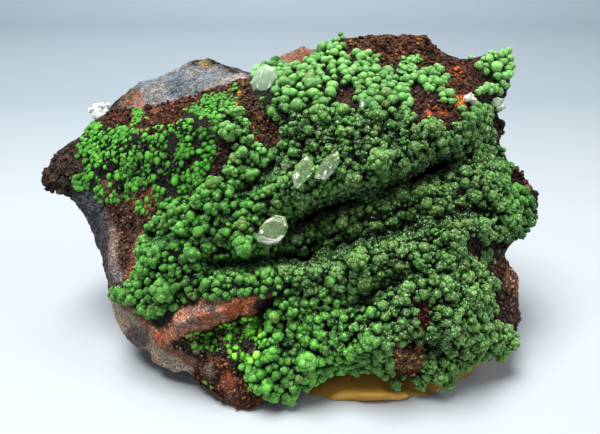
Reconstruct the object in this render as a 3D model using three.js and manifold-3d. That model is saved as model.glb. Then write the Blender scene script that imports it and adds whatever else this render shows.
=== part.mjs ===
// A conichalcite specimen: a broken slab of brown iron-oxide gossan whose face carries a
// bubbly green crust of conichalcite with a few clear calcite crystals on it. The slab leans
// back on an oval pad of mounting putty, with one corner of the rock down beside the pad.
import * as THREE from 'three';
import Module from 'manifold-3d';
import { ConvexGeometry } from 'three/addons/geometries/ConvexGeometry.js';
import { mergeVertices } from 'three/addons/utils/BufferGeometryUtils.js';

const wasm = await Module();
wasm.setup();

// Driving dimensions, in millimetres and degrees.
const leanBack = 24; // the face leans this far back from upright
const faceHeight = 21.1; // from the surface it stands on to the middle of the face
const viewDistance = 70; // places on the face are given as seen from this far in front
const clearance = 0.3; // between neighbouring pieces
const sheetThickness = 1.2; // of the crust between its lumps
const crustRoot = 4; // how deep the crust's cells start under the rock's surface
const rootInset = 0.14; // share by which the roots draw in under the edge of the face
const towardsViewer = 0.5; // how much lumps lean out from the face's own slope
const edgeInset = 0.6; // of the middle of a cell from the edge of the crust, at the least
const gapInset = 0.4; // the same, from bare rock
const backDepth = 21; // from the middle of the face to the middle of the broken back
const faceRings = 12; // rings of facets from the middle of the face to its rim
const undersideClear = 4.2; // height of the rock's underside behind its front corner
const puttyCentre = [8, 3.5]; // across and to the back, from under the middle of the face
const puttyRadii = [17.8, 12.1];
const puttyHeight = 6.4;
const lumpSpacing = 2.7; // between the middles of neighbouring lumps of the crust
const crustDepth = 4.0; // no lump stands further out from the rock
const lumpShift = 0.5; // how far a lump strays from even spacing
const lumpRise = [0.8, 1.6]; // least and most height over the sheet
const sprinkledRise = 0.35; // share of it where the crust thins out at the left
const shoulderShare = 0.52; // how far out a lump's shoulder is
const shoulderRise = 0.78; // share of a lump's height at its shoulder
const sideBulge = 0.5; // how uneven the side is between the rim and the girth
const girthToShoulder = 0.14; // share by which the back draws in at its shoulder
const backTilt = [0.05, 0.08]; // how the back turns forward to the right and upward
const backSwell = 0.03; // share by which the broken back's chips widen it

// Places on the face are [across, up, out]: to the right, up the face, and towards the
// viewer. Across and up are sizes seen at the middle of the face; place() makes them true.
function place(across, up, out) {
  const spread = 1 - out / viewDistance;
  return new THREE.Vector3(across * spread, up * spread, out);
}

// The rim where the face ends, clockwise from the left tip.
const rim = [
  [-28.6, 5.9, -8.5], [-27.1, 7.6, -8.5], [-25.2, 10.1, -8.5], [-23.3, 11.6, -8.5],
  [-21.0, 12.5, -8.0], [-17.8, 13.1, -7.2], [-14.2, 14.0, -6.5], [-10.8, 15.1, -6.0],
  [-7.4, 16.2, -5.5], [-4.6, 16.7, -5.2], [-1.2, 18.0, -5.0], [2.2, 18.8, -4.8],
  [5.4, 20.5, -4.8], [9.6, 21.0, -4.8], [13.4, 21.2, -5.0], [15.4, 20.5, -5.0],
  [16.8, 18.5, -5.0], [19.4, 18.0, -5.5], [22.2, 18.5, -6.3], [23.5, 18.4, -7.0],
  [24.0, 16.2, -7.0], [23.6, 14.4, -6.7], [22.6, 12.5, -6.0], [23.0, 10.7, -6.4],
  [22.7, 8.6, -6.0], [23.5, 6.7, -6.0], [25.4, 4.9, -7.6], [27.0, 2.6, -8.6],
  [27.4, 0.6, -8.6], [26.4, -1.0, -8.0], [23.8, -2.5, -6.0], [23.4, -4.2, -5.4],
  [24.7, -5.9, -5.6], [25.0, -8.2, -5.4], [25.3, -11.6, -4.8], [24.6, -13.8, -3.4],
  [22.8, -15.2, -2.2], [19.4, -16.4, -0.8], [16.6, -18.1, 0.4], [12.6, -17.9, 0.5],
  [9.0, -16.8, 0.5], [5.4, -16.7, 0.5], [2.2, -17.9, 0.5], [-1.2, -19.9, 0.6],
  [-4.6, -21.5, 0.6], [-6.6, -22.2, 0.6], [-8.6, -21.1, 0.4], [-10.6, -19.3, 0.0],
  [-13.0, -16.9, -0.2], [-15.8, -15.2, -0.3], [-18.0, -13.6, -0.8], [-19.8, -11.4, -1.4],
  [-21.6, -9.4, -2.0], [-22.4, -7.0, -2.6], [-22.6, -4.6, -3.2], [-23.0, -2.5, -4.2],
  [-24.0, -0.6, -5.4], [-25.2, 1.2, -6.8], [-27.0, 3.0, -8.2], [-28.6, 4.0, -8.5],
];

// The widest outline of the rock, a little behind the rim, clockwise from the left tip.
const girth = [
  [-30.8, 5.8, -10.0], [-29.2, 7.6, -10.5], [-26.8, 9.0, -11.0], [-24.0, 11.9, -12.0],
  [-21.4, 14.3, -13.0], [-19.2, 16.2, -13.5], [-16.2, 16.9, -14.0], [-13.4, 18.4, -14.5],
  [-11.6, 19.1, -14.5], [-9.1, 18.4, -14.0], [-7.0, 17.3, -13.5], [-5.3, 16.9, -12.0],
  [-2.6, 19.2, -11.0], [0.4, 20.4, -11.0], [2.2, 19.6, -9.0], [5.4, 21.2, -6.8],
  [9.4, 21.6, -6.8], [12.0, 21.8, -6.8], [13.7, 22.1, -7.0], [15.7, 21.4, -7.0],
  [16.9, 19.3, -7.0], [19.4, 18.6, -7.3], [22.2, 19.2, -8.2], [24.1, 19.3, -9.0],
  [25.0, 17.0, -9.0], [25.1, 15.0, -9.0], [23.4, 12.7, -8.0], [24.4, 10.8, -8.5],
  [23.5, 8.8, -8.0], [24.4, 6.8, -8.0], [26.2, 5.8, -9.5], [27.2, 4.2, -10.0],
  [28.4, 2.3, -10.5], [28.6, 0.4, -10.5], [27.6, -0.7, -10.0], [25.0, -2.8, -8.0],
  [24.2, -4.2, -7.5], [25.9, -5.8, -9.0], [26.2, -8.2, -9.0], [25.8, -9.2, -8.0],
  [26.5, -12.1, -7.5], [25.8, -14.2, -6.0], [23.8, -16.0, -5.0], [19.8, -17.4, -4.0],
  [16.8, -19.3, -2.5], [12.6, -19.1, -2.0], [9.0, -17.8, -2.0], [5.4, -17.6, -2.0],
  [2.2, -18.8, -1.5], [-1.2, -21.0, -1.0], [-4.6, -22.3, -0.5], [-6.6, -23.2, 0.0],
  [-9.4, -22.0, -1.0], [-11.0, -20.5, -1.8], [-12.8, -19.6, -2.5], [-14.4, -18.6, -3.5],
  [-17.0, -18.4, -3.8], [-18.0, -16.3, -4.5], [-19.9, -15.6, -6.0], [-21.5, -13.3, -7.5],
  [-22.6, -10.0, -8.5], [-23.4, -7.3, -9.5], [-23.8, -4.2, -10.0], [-24.7, -1.6, -11.0],
  [-26.0, 0.8, -11.5], [-27.5, 2.4, -11.5], [-29.4, 2.9, -11.0], [-30.4, 4.1, -10.5],
];

// Clefts, ledges and pits of the face: a path, how far it sinks (-) or stands out (+), and
// half its width. A pit or a knob is a path of one point.
const relief = [
  {
    path: [[-1.4, -1.8], [3.6, 1.3], [7.2, 2.0], [11.4, 3.7], [15.6, 5.4], [18.2, 7.1]],
    rise: -6.5,
    reach: 1.7,
  },
  { path: [[-6.6, 3.5], [-4.6, 4.4], [-2.9, 6.1]], rise: -3.0, reach: 1.4 },
  { path: [[-10.2, -5.9], [-3.5, -5.2], [2.6, -4.6]], rise: -4.5, reach: 1.6 },
  { path: [[3.6, -3.2], [12.0, -1.3], [20.4, 1.1]], rise: -3.6, reach: 1.6 },
  { path: [[-18.0, -2.3], [-12.4, -2.6]], rise: -2.0, reach: 1.2 },
  { path: [[5.4, -10.7], [11.8, -6.6]], rise: -3.0, reach: 1.4 },
  { path: [[15.4, -15.4]], rise: -3.0, reach: 1.8 },
  { path: [[-11.4, -14.2], [-5.4, -12.1]], rise: -2.6, reach: 1.4 },
  { path: [[-4.6, 10.6], [-6.2, 12.4]], rise: -1.5, reach: 2.0 },
  { path: [[-16.8, -14.2], [-10.2, -11.4], [-2.6, -9.6]], rise: 2.2, reach: 1.5 },
  { path: [[-1.2, -2.8], [7.0, -0.6], [16.8, 3.5]], rise: 1.2, reach: 1.6 },
  {
    path: [[-12.0, -7.8], [-1.2, -7.0], [7.8, -5.4], [15.6, -2.0], [21.0, -1.6]],
    rise: 1.6,
    reach: 1.8,
  },
  { path: [[-2.0, 3.2], [3.4, 3.2], [11.8, 5.6], [15.0, 8.0]], rise: 1.8, reach: 1.8 },
  { path: [[-17.4, -3.9], [-6.8, -3.2]], rise: 1.2, reach: 1.5 },
  { path: [[12.6, -17.2]], rise: 1.8, reach: 2.2 },
];

// The broad form of the face: how far its middle stands out, where it falls back (by how
// much, and between which places across and up), and its two broad swells.
const middleOut = 1.2;
const falls = [
  { depth: 9.5, across: [-9, -31], up: [-9, 2] },
  { depth: 3.0, across: [-12, -24], up: [2, -9] },
  { depth: 8.0, across: [17, 30] },
  { depth: 6.0, up: [11, 22] },
];
const swells = [
  { at: [14, -11], reach: [11, 8], rise: 2.4 },
  { at: [9, 7], reach: [9, 6], rise: 2.2 },
];
const unevenness = { height: 0.45, size: 4 };
const rimFade = [0.84, 1]; // share of the way to the rim over which the face runs into it

// Chips of the broken back, coarse and fine.
const chips = [{ height: 1.1, size: 5 }, { height: 0.5, size: 2.2 }];

// The edge of the crust, clockwise from its left end.
const crustEdge = [
  [-27.0, 3.6], [-27.4, 5.6], [-26.4, 8.6], [-25.0, 10.8], [-23.0, 11.2], [-21.0, 10.8],
  [-19.6, 12.6], [-18.0, 11.2], [-14.6, 10.8], [-13.8, 13.2], [-10.6, 14.8], [-8.2, 15.2],
  [-5.8, 17.0], [-3.0, 17.9], [0.6, 18.5], [2.8, 20.0], [4.2, 22.4], [6.0, 22.4], [6.6, 19.8],
  [9.4, 19.4], [11.6, 17.8], [12.4, 19.2], [14.4, 19.2], [16.4, 18.2], [18.2, 15.8],
  [19.0, 13.4], [20.6, 13.4], [20.6, 19.6], [25.6, 20.4], [25.6, 15.0], [23.6, 13.2],
  [22.8, 11.6], [23.0, 9.0], [24.2, 7.2], [24.0, 4.8], [26.0, 3.0], [27.2, 0.4],
  [26.6, -1.4], [25.0, -2.6], [22.6, -2.7], [19.4, -2.8], [20.2, -4.2], [23.2, -4.2],
  [23.2, -5.4], [19.4, -5.2], [20.8, -7.0], [23.0, -7.4], [22.8, -9.8], [23.2, -11.6],
  [22.6, -12.6], [24.6, -13.0], [25.0, -15.0], [23.8, -16.8], [21.6, -17.2], [19.0, -17.8],
  [18.0, -19.4], [15.4, -20.0], [12.4, -19.8], [10.0, -19.2], [7.6, -18.4], [4.4, -19.0],
  [1.6, -20.4], [-0.6, -22.0], [-3.0, -21.8], [-4.8, -20.6], [-6.4, -21.0], [-7.2, -18.6],
  [-9.6, -16.8], [-13.8, -15.6], [-13.6, -14.2], [-9.6, -13.6], [-7.0, -12.2], [-4.4, -11.4],
  [-3.0, -10.2], [-4.8, -9.4], [-9.0, -9.8], [-12.6, -9.8], [-15.4, -11.6], [-17.8, -12.4],
  [-19.6, -11.0], [-22.6, -9.8], [-21.0, -7.4], [-19.8, -4.8], [-19.0, -2.0], [-18.0, -0.2],
  [-16.8, 0.8], [-18.0, 3.0], [-21.6, 3.4], [-23.4, 2.2], [-25.6, 3.0],
];

// Bare rock showing through the crust.
const crustGaps = [
  [
    [-7.2, 15.2], [-5.6, 14.4], [-4.6, 12.8], [-3.0, 11.2], [-2.0, 9.6], [-3.4, 8.4],
    [-5.4, 8.6], [-6.8, 10.4], [-7.3, 12.8],
  ],
  [[-9.0, 9.0], [-7.9, 8.4], [-8.4, 6.6], [-9.4, 4.8], [-10.4, 4.9], [-10.4, 7.4]],
  [[4.2, 15.2], [5.6, 15.4], [6.3, 14.2], [5.6, 13.3], [4.2, 13.4]],
  [
    [13.0, 16.0], [15.2, 16.0], [17.0, 14.6], [18.8, 13.2], [18.4, 11.6], [16.4, 12.0],
    [14.6, 11.2], [13.2, 11.6], [12.6, 13.8],
  ],
  [
    [11.6, -15.0], [13.4, -15.7], [14.8, -17.2], [14.2, -18.8], [12.2, -18.8],
    [10.8, -17.2], [10.6, -16.0],
  ],
  [[14.0, -9.8], [15.2, -11.4], [15.4, -13.4], [14.4, -12.4], [13.6, -10.8]],
  [[14.2, -15.2], [16.4, -15.0], [16.6, -16.0], [14.6, -16.2]],
];

// Where the crust thins out to a sprinkling.
const sprinkledArea = [
  [-28.5, 2.0], [-28.5, 12.0], [-18.0, 13.5], [-12.0, 14.0], [-9.5, 12.0], [-9.0, 6.5],
  [-11.5, 4.5], [-15.5, 2.5],
];

// Calcite crystals: place, radii across, up and out, turn in degrees, and how far the middle
// stands out from the rock.
const crystals = [
  { at: [0.4, 5.3], radii: [1.05, 2.0, 0.9], turn: [10, -15, -22], out: 3.3 },
  { at: [3.3, 6.1], radii: [1.1, 2.0, 0.9], turn: [-8, 12, -38], out: 3.3 },
  { at: [-3.4, -1.4], radii: [1.75, 1.75, 1.2], turn: [15, 10, 20], out: 3.2 },
  { at: [-4.4, 16.2], radii: [1.5, 1.9, 1.0], turn: [-10, 20, 15], out: 2.4 },
  { at: [-2.0, 6.3], radii: [0.6, 0.7, 0.6], turn: [20, 30, 10], out: 2.6 },
  { at: [23.4, 13.6], radii: [0.85, 1.0, 0.8], turn: [5, -20, 30], out: 0.9 },
  { at: [20.2, 14.4], radii: [0.6, 0.9, 0.6], turn: [25, 0, -15], out: 0.9 },
  { at: [7.5, 13.6], radii: [0.4, 0.65, 0.45], turn: [0, 25, 8], out: 2.4 },
  { at: [-23.7, 12.6], radii: [1.4, 0.9, 0.9], turn: [10, 35, 12], out: 0.6 },
];
const girdleZigzag = 0.28; // how far a crystal's girdle corners step up and down
const tipFaceRadius = 0.42; // of the flat three-sided face at each end
const tipFaceHeight = 0.86;

// Repeatable noise from -1 to 1, smooth over about 1 unit.
function latticeValue(i, j, k) {
  const s = Math.sin(i * 127.1 + j * 311.7 + k * 74.7) * 43758.5453;
  return 2 * (s - Math.floor(s)) - 1;
}

function noise(x, y, z) {
  const cell = [x, y, z].map(Math.floor);
  const [fx, fy, fz] = [x, y, z].map((value, n) => eased(value - cell[n], [0, 1]));
  let sum = 0;
  for (const corner of [0, 1, 2, 3, 4, 5, 6, 7]) {
    const [dx, dy, dz] = [corner & 1, (corner >> 1) & 1, corner >> 2];
    const weight = (dx ? fx : 1 - fx) * (dy ? fy : 1 - fy) * (dz ? fz : 1 - fz);
    sum += weight * latticeValue(cell[0] + dx, cell[1] + dy, cell[2] + dz);
  }
  return sum;
}

// Where an outline meets the ray at an angle from the middle of the face.
function outlineAt(outline, angle) {
  const [rayX, rayY] = [Math.cos(angle), Math.sin(angle)];
  for (let i = 0; i < outline.length; i++) {
    const [ax, ay, az] = outline[i];
    const [bx, by, bz] = outline[(i + 1) % outline.length];
    const sideA = rayX * ay - rayY * ax;
    const sideB = rayX * by - rayY * bx;
    if (sideA * sideB > 0 || sideA === sideB || rayX * (ax + bx) + rayY * (ay + by) < 0) continue;
    const t = sideA / (sideA - sideB);
    const [x, y] = [ax + t * (bx - ax), ay + t * (by - ay)];
    return { radius: Math.hypot(x, y), out: az + t * (bz - az) };
  }
  throw new Error(`the outline has no point at ${angle}`);
}

function distanceToPath([x, y], path) {
  let nearest = Math.hypot(x - path[0][0], y - path[0][1]);
  for (let i = 1; i < path.length; i++) {
    const [ax, ay] = path[i - 1];
    const [dx, dy] = [path[i][0] - ax, path[i][1] - ay];
    const t = THREE.MathUtils.clamp(((x - ax) * dx + (y - ay) * dy) / (dx * dx + dy * dy), 0, 1);
    nearest = Math.min(nearest, Math.hypot(x - ax - t * dx, y - ay - t * dy));
  }
  return nearest;
}

function hill(x, y, [atX, atY], [reachX, reachY]) {
  return Math.exp(-(((x - atX) / reachX) ** 2) - ((y - atY) / reachY) ** 2);
}

// From 0 to 1 between two limits, in either direction.
function eased(value, [from, to]) {
  return THREE.MathUtils.smoothstep((value - from) * Math.sign(to - from), 0, Math.abs(to - from));
}

// How far out the rock's face is at a place, away from the rim.
function faceOut(x, y) {
  let out = middleOut;
  for (const { depth, across, up } of falls) {
    out -= depth * (across ? eased(x, across) : 1) * (up ? eased(y, up) : 1);
  }
  for (const { at, reach, rise } of swells) {
    out += rise * hill(x, y, at, reach);
  }
  for (const { path, rise, reach } of relief) {
    out += rise * Math.exp(-((distanceToPath([x, y], path) / reach) ** 2));
  }
  return out + unevenness.height * noise(x / unevenness.size, y / unevenness.size, 3);
}

// The same, running into the rim and on to the girth.
function rockOut(x, y) {
  const angle = Math.atan2(y, x);
  const edge = outlineAt(rim, angle);
  const wide = outlineAt(girth, angle);
  const share = rimShare(x, y);
  if (share <= 1) {
    return THREE.MathUtils.lerp(faceOut(x, y), edge.out, eased(share, rimFade));
  }
  const beyond = (Math.hypot(x, y) - edge.radius) / Math.max(wide.radius - edge.radius, 0.1);
  return THREE.MathUtils.lerp(edge.out, wide.out, Math.min(beyond, 1));
}

// Keeps the rock's underside clear of the surface behind its front corner.
const leanCos = Math.cos(THREE.MathUtils.degToRad(leanBack));
const leanSin = Math.sin(THREE.MathUtils.degToRad(leanBack));
function raiseUnderside(point, grow) {
  const lowest = THREE.MathUtils.clamp(-point.z - 1.2, 0, 9) / 9 * undersideClear;
  const height = faceHeight + point.y * leanCos + point.z * leanSin;
  if (height < lowest - grow) point.y += (lowest - grow - height) / leanCos;
  return point;
}

// A point of the rock's face, or of its coat of a given thickness.
function facePoint(x, y, coat) {
  const reach = Math.hypot(x, y);
  const [rayX, rayY] = reach > 0 ? [x / reach, y / reach] : [0, 0];
  const outward = 0.75 * THREE.MathUtils.smoothstep(rimShare(x, y), 0.8, 1);
  const direction = new THREE.Vector3(rayX * outward, rayY * outward, 1 - 0.4 * outward);
  return raiseUnderside(place(x, y, rockOut(x, y)).addScaledVector(direction, coat), coat);
}

// A point behind the rim. level runs from 1 at the rim to 2 at the girth, 3 at the shoulder
// behind it and 4 at the middle of the back.
function sidePoint(level, angle, coat) {
  const edge = outlineAt(rim, angle);
  const wide = outlineAt(girth, angle);
  const [rayX, rayY] = [Math.cos(angle), Math.sin(angle)];
  if (level <= 2) {
    const t = level - 1;
    const bulge = sideBulge * Math.sin(Math.PI * t) * noise(6 * rayX, 6 * rayY, 9 + t);
    const radius = THREE.MathUtils.lerp(edge.radius, wide.radius, t) + bulge;
    const point = place(rayX * radius, rayY * radius, THREE.MathUtils.lerp(edge.out, wide.out, t));
    point.addScaledVector(new THREE.Vector3(rayX, rayY, 0.6 * (1 - t)), coat);
    return raiseUnderside(point, coat);
  }
  const t = (level - 2) / 2;
  const drawnIn = 1 - girthToShoulder * (level - 2) ** 1.5;
  const shrink = level <= 3 ? drawnIn : (1 - girthToShoulder) * (4 - level);
  const girthPoint = place(rayX * wide.radius, rayY * wide.radius, wide.out);
  const [x, y] = [girthPoint.x * shrink, girthPoint.y * shrink];
  const back = -backDepth + backTilt[0] * x + backTilt[1] * y;
  const turn = (Math.min(t * 1.9, 1) * Math.PI) / 2;
  const depth = THREE.MathUtils.lerp(wide.out, back, Math.sin(turn));
  const chip = chips.reduce(
    (sum, { height, size }) => sum + height * noise(x / size, y / size, depth / size), 0);
  const fade = Math.min(t * 3, 1);
  const swell = 1 + backSwell * chip * fade * Math.min(4 - level, 1);
  const point = new THREE.Vector3(x * swell, y * swell, depth + chip * fade);
  point.addScaledVector(new THREE.Vector3(rayX, rayY, -t), coat);
  return raiseUnderside(point, coat);
}

// Joins two closed rings of points into a band of triangles, whatever their counts.
function joinRings(triangles, inner, outer) {
  let [i, j] = [0, 0];
  while (i < inner.length || j < outer.length) {
    const [a, b] = [inner[i % inner.length], outer[j % outer.length]];
    const outerIsNext = (j + 1) / outer.length <= (i + 1) / inner.length;
    if (i >= inner.length || (j < outer.length && outerIsNext)) {
      triangles.push(a, b, outer[(j + 1) % outer.length]);
      j++;
    } else {
      triangles.push(a, b, inner[(i + 1) % inner.length]);
      i++;
    }
  }
}

// The rock's closed surface under a coat whose thickness depends on the level.
function coatedRock(coatAt) {
  const points = [facePoint(0, 0, coatAt(0))];
  const rings = [[0]];
  const addRing = (count, pointAt) => {
    const angles = Array.from({ length: count }, (unused, n) => (2 * Math.PI * n) / count);
    rings.push(angles.map((angle) => points.push(pointAt(angle)) - 1));
  };
  for (let k = 1; k <= faceRings; k++) {
    addRing(6 * k, (angle) => {
      const radius = (outlineAt(rim, angle).radius * k) / faceRings;
      return facePoint(radius * Math.cos(angle), radius * Math.sin(angle), coatAt(k / faceRings));
    });
  }
  const full = 6 * faceRings;
  const sideRings = [
    [1.5, full], [2, full], [2.5, full], [3, 48], [3.25, 36], [3.5, 24], [3.75, 10], [4, 1],
  ];
  for (const [level, count] of sideRings) {
    addRing(count, (angle) => sidePoint(level, angle, coatAt(level)));
  }
  const triangles = [];
  rings.slice(1).forEach((ring, n) => joinRings(triangles, rings[n], ring));
  const geometry = new THREE.BufferGeometry().setFromPoints(points);
  geometry.setIndex(triangles);
  return toSolid(geometry);
}

function toSolid(geometry) {
  const bare = new THREE.BufferGeometry();
  bare.setAttribute('position', geometry.getAttribute('position'));
  bare.setIndex(geometry.index);
  const merged = mergeVertices(bare, 1e-5);
  return new wasm.Manifold(new wasm.Mesh({
    numProp: 3,
    vertProperties: new Float32Array(merged.getAttribute('position').array),
    triVerts: new Uint32Array(merged.index.array),
  }));
}

function toGeometry(solid) {
  const { vertProperties, triVerts } = solid.getMesh();
  const geometry = new THREE.BufferGeometry();
  geometry.setAttribute('position', new THREE.BufferAttribute(vertProperties, 3));
  geometry.setIndex(new THREE.BufferAttribute(triVerts, 1));
  return geometry;
}

function largestBody(solid) {
  return solid.decompose().reduce((a, b) => (b.volume() > a.volume() ? b : a));
}

function joinAll(solids) {
  if (solids.length === 1) return solids[0];
  const half = solids.length >> 1;
  return joinAll(solids.slice(0, half)).add(joinAll(solids.slice(half)));
}

function isInside([x, y], outline) {
  let inside = false;
  outline.forEach(([ax, ay], n) => {
    const [bx, by] = outline[(n + 1) % outline.length];
    if (ay > y !== by > y && x < ax + ((y - ay) / (by - ay)) * (bx - ax)) inside = !inside;
  });
  return inside;
}

function rimShare(x, y) {
  const reach = Math.hypot(x, y);
  return reach > 0 ? reach / outlineAt(rim, Math.atan2(y, x)).radius : 0;
}

// A place on the rock's face, the way a lump grows out of it, and where its root ends in
// the rock, drawn in under the edge of the face.
function rootOf(x, y) {
  const near = 0.4;
  const onRock = (atX, atY) => place(atX, atY, rockOut(atX, atY));
  const middle = onRock(x, y);
  const across = onRock(x + near, y).sub(onRock(x - near, y));
  const upward = onRock(x, y + near).sub(onRock(x, y - near));
  const growth = across.cross(upward).normalize();
  growth.z += towardsViewer;
  const inward = 1 - rootInset * THREE.MathUtils.smoothstep(rimShare(x, y), 0.72, 1.05);
  const end = place(x * inward, y * inward, rockOut(x * inward, y * inward) - crustRoot);
  return { middle, growth: growth.normalize(), end };
}

// The crust is a comb of six-sided cells, each rising to a lump. Cells are numbered by
// column and row, with every other row moved half a cell to the right.
function cellMiddle(column, row) {
  const x = (column + (row & 1) / 2) * lumpSpacing + lumpShift * latticeValue(column, row, 1);
  const y = (row * lumpSpacing * Math.sqrt(3)) / 2 + lumpShift * latticeValue(column, row, 2);
  return [x, y];
}

function cellNeighbours(column, row) {
  const shift = row & 1;
  return [
    [column + 1, row], [column + shift, row + 1], [column + shift - 1, row + 1],
    [column - 1, row], [column + shift - 1, row - 1], [column + shift, row - 1],
  ];
}

function crustCells() {
  const geometry = { points: [], triangles: [], corners: new Map() };
  const hasCell = (cell) => {
    const middle = cellMiddle(...cell);
    const nearEdge = (outline, inset) => distanceToPath(middle, [...outline, outline[0]]) < inset;
    const inGap = (gap) => isInside(middle, gap) || nearEdge(gap, gapInset);
    return isInside(middle, crustEdge) && !nearEdge(crustEdge, edgeInset) && !crustGaps.some(inGap);
  };
  // The two points, above and below, where three cells meet.
  const cornerOf = (cells) => {
    const key = cells.map(String).sort().join();
    if (!geometry.corners.has(key)) {
      const middles = cells.map((cell) => cellMiddle(...cell));
      const [x, y] = [0, 1].map((axis) => (middles[0][axis] + middles[1][axis] + middles[2][axis]) / 3);
      const { middle, growth, end } = rootOf(x, y);
      const above = geometry.points.push(middle.addScaledVector(growth, sheetThickness)) - 1;
      geometry.points.push(end);
      geometry.corners.set(key, { x, y, above, below: above + 1 });
    }
    return geometry.corners.get(key);
  };
  for (let row = -12; row <= 12; row++) {
    for (let column = -14; column <= 14; column++) {
      if (!hasCell([column, row])) continue;
      addCell([column, row], geometry, cornerOf, hasCell);
    }
  }
  const buffer = new THREE.BufferGeometry().setFromPoints(geometry.points);
  buffer.setIndex(geometry.triangles);
  return toSolid(buffer);
}

function addCell(cell, { points, triangles }, cornerOf, hasCell) {
  const [x, y] = cellMiddle(...cell);
  const { middle, growth, end } = rootOf(x, y);
  const sprinkled = isInside([x, y], sprinkledArea) ? sprinkledRise : 1;
  const rise = THREE.MathUtils.lerp(...lumpRise, 0.5 + 0.5 * latticeValue(...cell, 5)) * sprinkled;
  const top = points.push(middle.addScaledVector(growth, sheetThickness + rise)) - 1;
  const bottom = points.push(end) - 1;
  const neighbours = cellNeighbours(...cell);
  const corners = neighbours.map((neighbour, n) => cornerOf([cell, neighbour, neighbours[(n + 1) % 6]]));
  const shoulders = corners.map((corner) => {
    const shoulderX = THREE.MathUtils.lerp(x, corner.x, shoulderShare);
    const shoulderY = THREE.MathUtils.lerp(y, corner.y, shoulderShare);
    const root = rootOf(shoulderX, shoulderY);
    const height = sheetThickness + shoulderRise * rise;
    return points.push(root.middle.addScaledVector(root.growth, height)) - 1;
  });
  neighbours.forEach((neighbour, n) => {
    const previous = (n + 5) % 6;
    const [from, to] = [corners[previous], corners[n]];
    triangles.push(top, shoulders[previous], shoulders[n]);
    triangles.push(shoulders[previous], from.above, to.above, shoulders[previous], to.above, shoulders[n]);
    triangles.push(bottom, to.below, from.below);
    if (!hasCell(neighbour)) {
      triangles.push(from.above, from.below, to.below, from.above, to.below, to.above);
    }
  });
}

function crystalGeometry({ at, radii, turn, out }, grow) {
  const points = [];
  for (let n = 0; n < 6; n++) {
    const angle = (n * Math.PI) / 3;
    const step = n % 2 ? girdleZigzag : -girdleZigzag;
    points.push(new THREE.Vector3(Math.cos(angle), step, Math.sin(angle)));
  }
  for (const side of [-1, 1]) {
    for (let n = 0; n < 3; n++) {
      const angle = ((4 * n + 1 + side) * Math.PI) / 6;
      const [x, z] = [Math.cos(angle) * tipFaceRadius, Math.sin(angle) * tipFaceRadius];
      points.push(new THREE.Vector3(x, side * tipFaceHeight, z));
    }
  }
  const geometry = new ConvexGeometry(points);
  geometry.scale(radii[0] + grow, radii[1] + grow, radii[2] + grow);
  const [tx, ty, tz] = turn.map(THREE.MathUtils.degToRad);
  geometry.rotateY(ty);
  geometry.rotateX(tx);
  geometry.rotateZ(tz);
  const centre = place(at[0], at[1], rockOut(...at) + out);
  geometry.translate(centre.x, centre.y, centre.z);
  return geometry;
}

// The face frame stood up on the surface: the face leans back, its middle above the origin.
const stand = new THREE.Matrix4()
  .makeRotationX(Math.PI / 2 - THREE.MathUtils.degToRad(leanBack))
  .setPosition(0, 0, faceHeight);

function puttyGeometry() {
  const profile = [
    [0, 0], [0.95, 0], [0.99, 0.15], [1.0, 0.4], [0.95, 0.75], [0.8, 0.93], [0, 1],
  ].map(([radius, height]) => new THREE.Vector2(radius, height));
  const geometry = new THREE.LatheGeometry(profile, 32);
  geometry.rotateX(Math.PI / 2);
  geometry.scale(puttyRadii[0], puttyRadii[1], puttyHeight);
  geometry.translate(puttyCentre[0], puttyCentre[1], 0);
  return geometry;
}

const rock = coatedRock(() => 0);
const rockWithGap = coatedRock(() => clearance);
const pockets = joinAll(crystals.map((crystal) => toSolid(crystalGeometry(crystal, clearance))));
const crust = largestBody(crustCells().subtract(rockWithGap).subtract(pockets));
const matrix = largestBody(rock.subtract(pockets));
// The putty is cut by a coat that clears the crust in front and the rock underneath.
const bed = coatedRock((level) => THREE.MathUtils.lerp(crustDepth, clearance, eased(level, [1.6, 2.6])));
const putty = largestBody(toSolid(puttyGeometry()).subtract(bed.transform(stand.elements)));

const colours = {
  gossan: new THREE.MeshStandardMaterial({ color: 0x4a2a1c, roughness: 0.85, metalness: 0 }),
  conichalcite: new THREE.MeshStandardMaterial({ color: 0x2f9a2e, roughness: 0.45, metalness: 0 }),
  calcite: new THREE.MeshStandardMaterial({
    color: 0xe6efe2, roughness: 0.1, metalness: 0, transparent: true, opacity: 0.5,
  }),
  putty: new THREE.MeshStandardMaterial({ color: 0x9a7138, roughness: 0.7, metalness: 0 }),
};

function namedMesh(name, geometry, material) {
  const mesh = new THREE.Mesh(geometry, material);
  mesh.name = name;
  return mesh;
}

const specimen = new THREE.Group();
specimen.add(namedMesh('gossan_matrix', toGeometry(matrix), colours.gossan));
specimen.add(namedMesh('conichalcite_crust', toGeometry(crust), colours.conichalcite));
crystals.forEach((crystal, number) => {
  specimen.add(namedMesh(`calcite_crystal_${number + 1}`, crystalGeometry(crystal, 0), colours.calcite));
});
specimen.applyMatrix4(stand);

const part = new THREE.Group();
part.add(specimen, namedMesh('putty_pad', toGeometry(putty), colours.putty));

// The origin is on the surface, under the middle of the whole part.
part.updateMatrixWorld(true);
const box = new THREE.Box3().setFromObject(part, true);
part.position.set(-(box.min.x + box.max.x) / 2, -(box.min.y + box.max.y) / 2, -box.min.z);

export default part;
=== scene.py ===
"""A conichalcite specimen: green globules on brown gossan, with calcite, on a pad of putty.

Lengths in this script are in millimetres until a mesh is made. Places on the face are
given as (x, y) in the 600 by 434 view, because the camera looks straight at the face.
"""
import itertools
import math

import bmesh
import bpy
import numpy as np
from mathutils import Matrix, Vector
from mathutils.bvhtree import BVHTree
from mathutils.kdtree import KDTree


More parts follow.
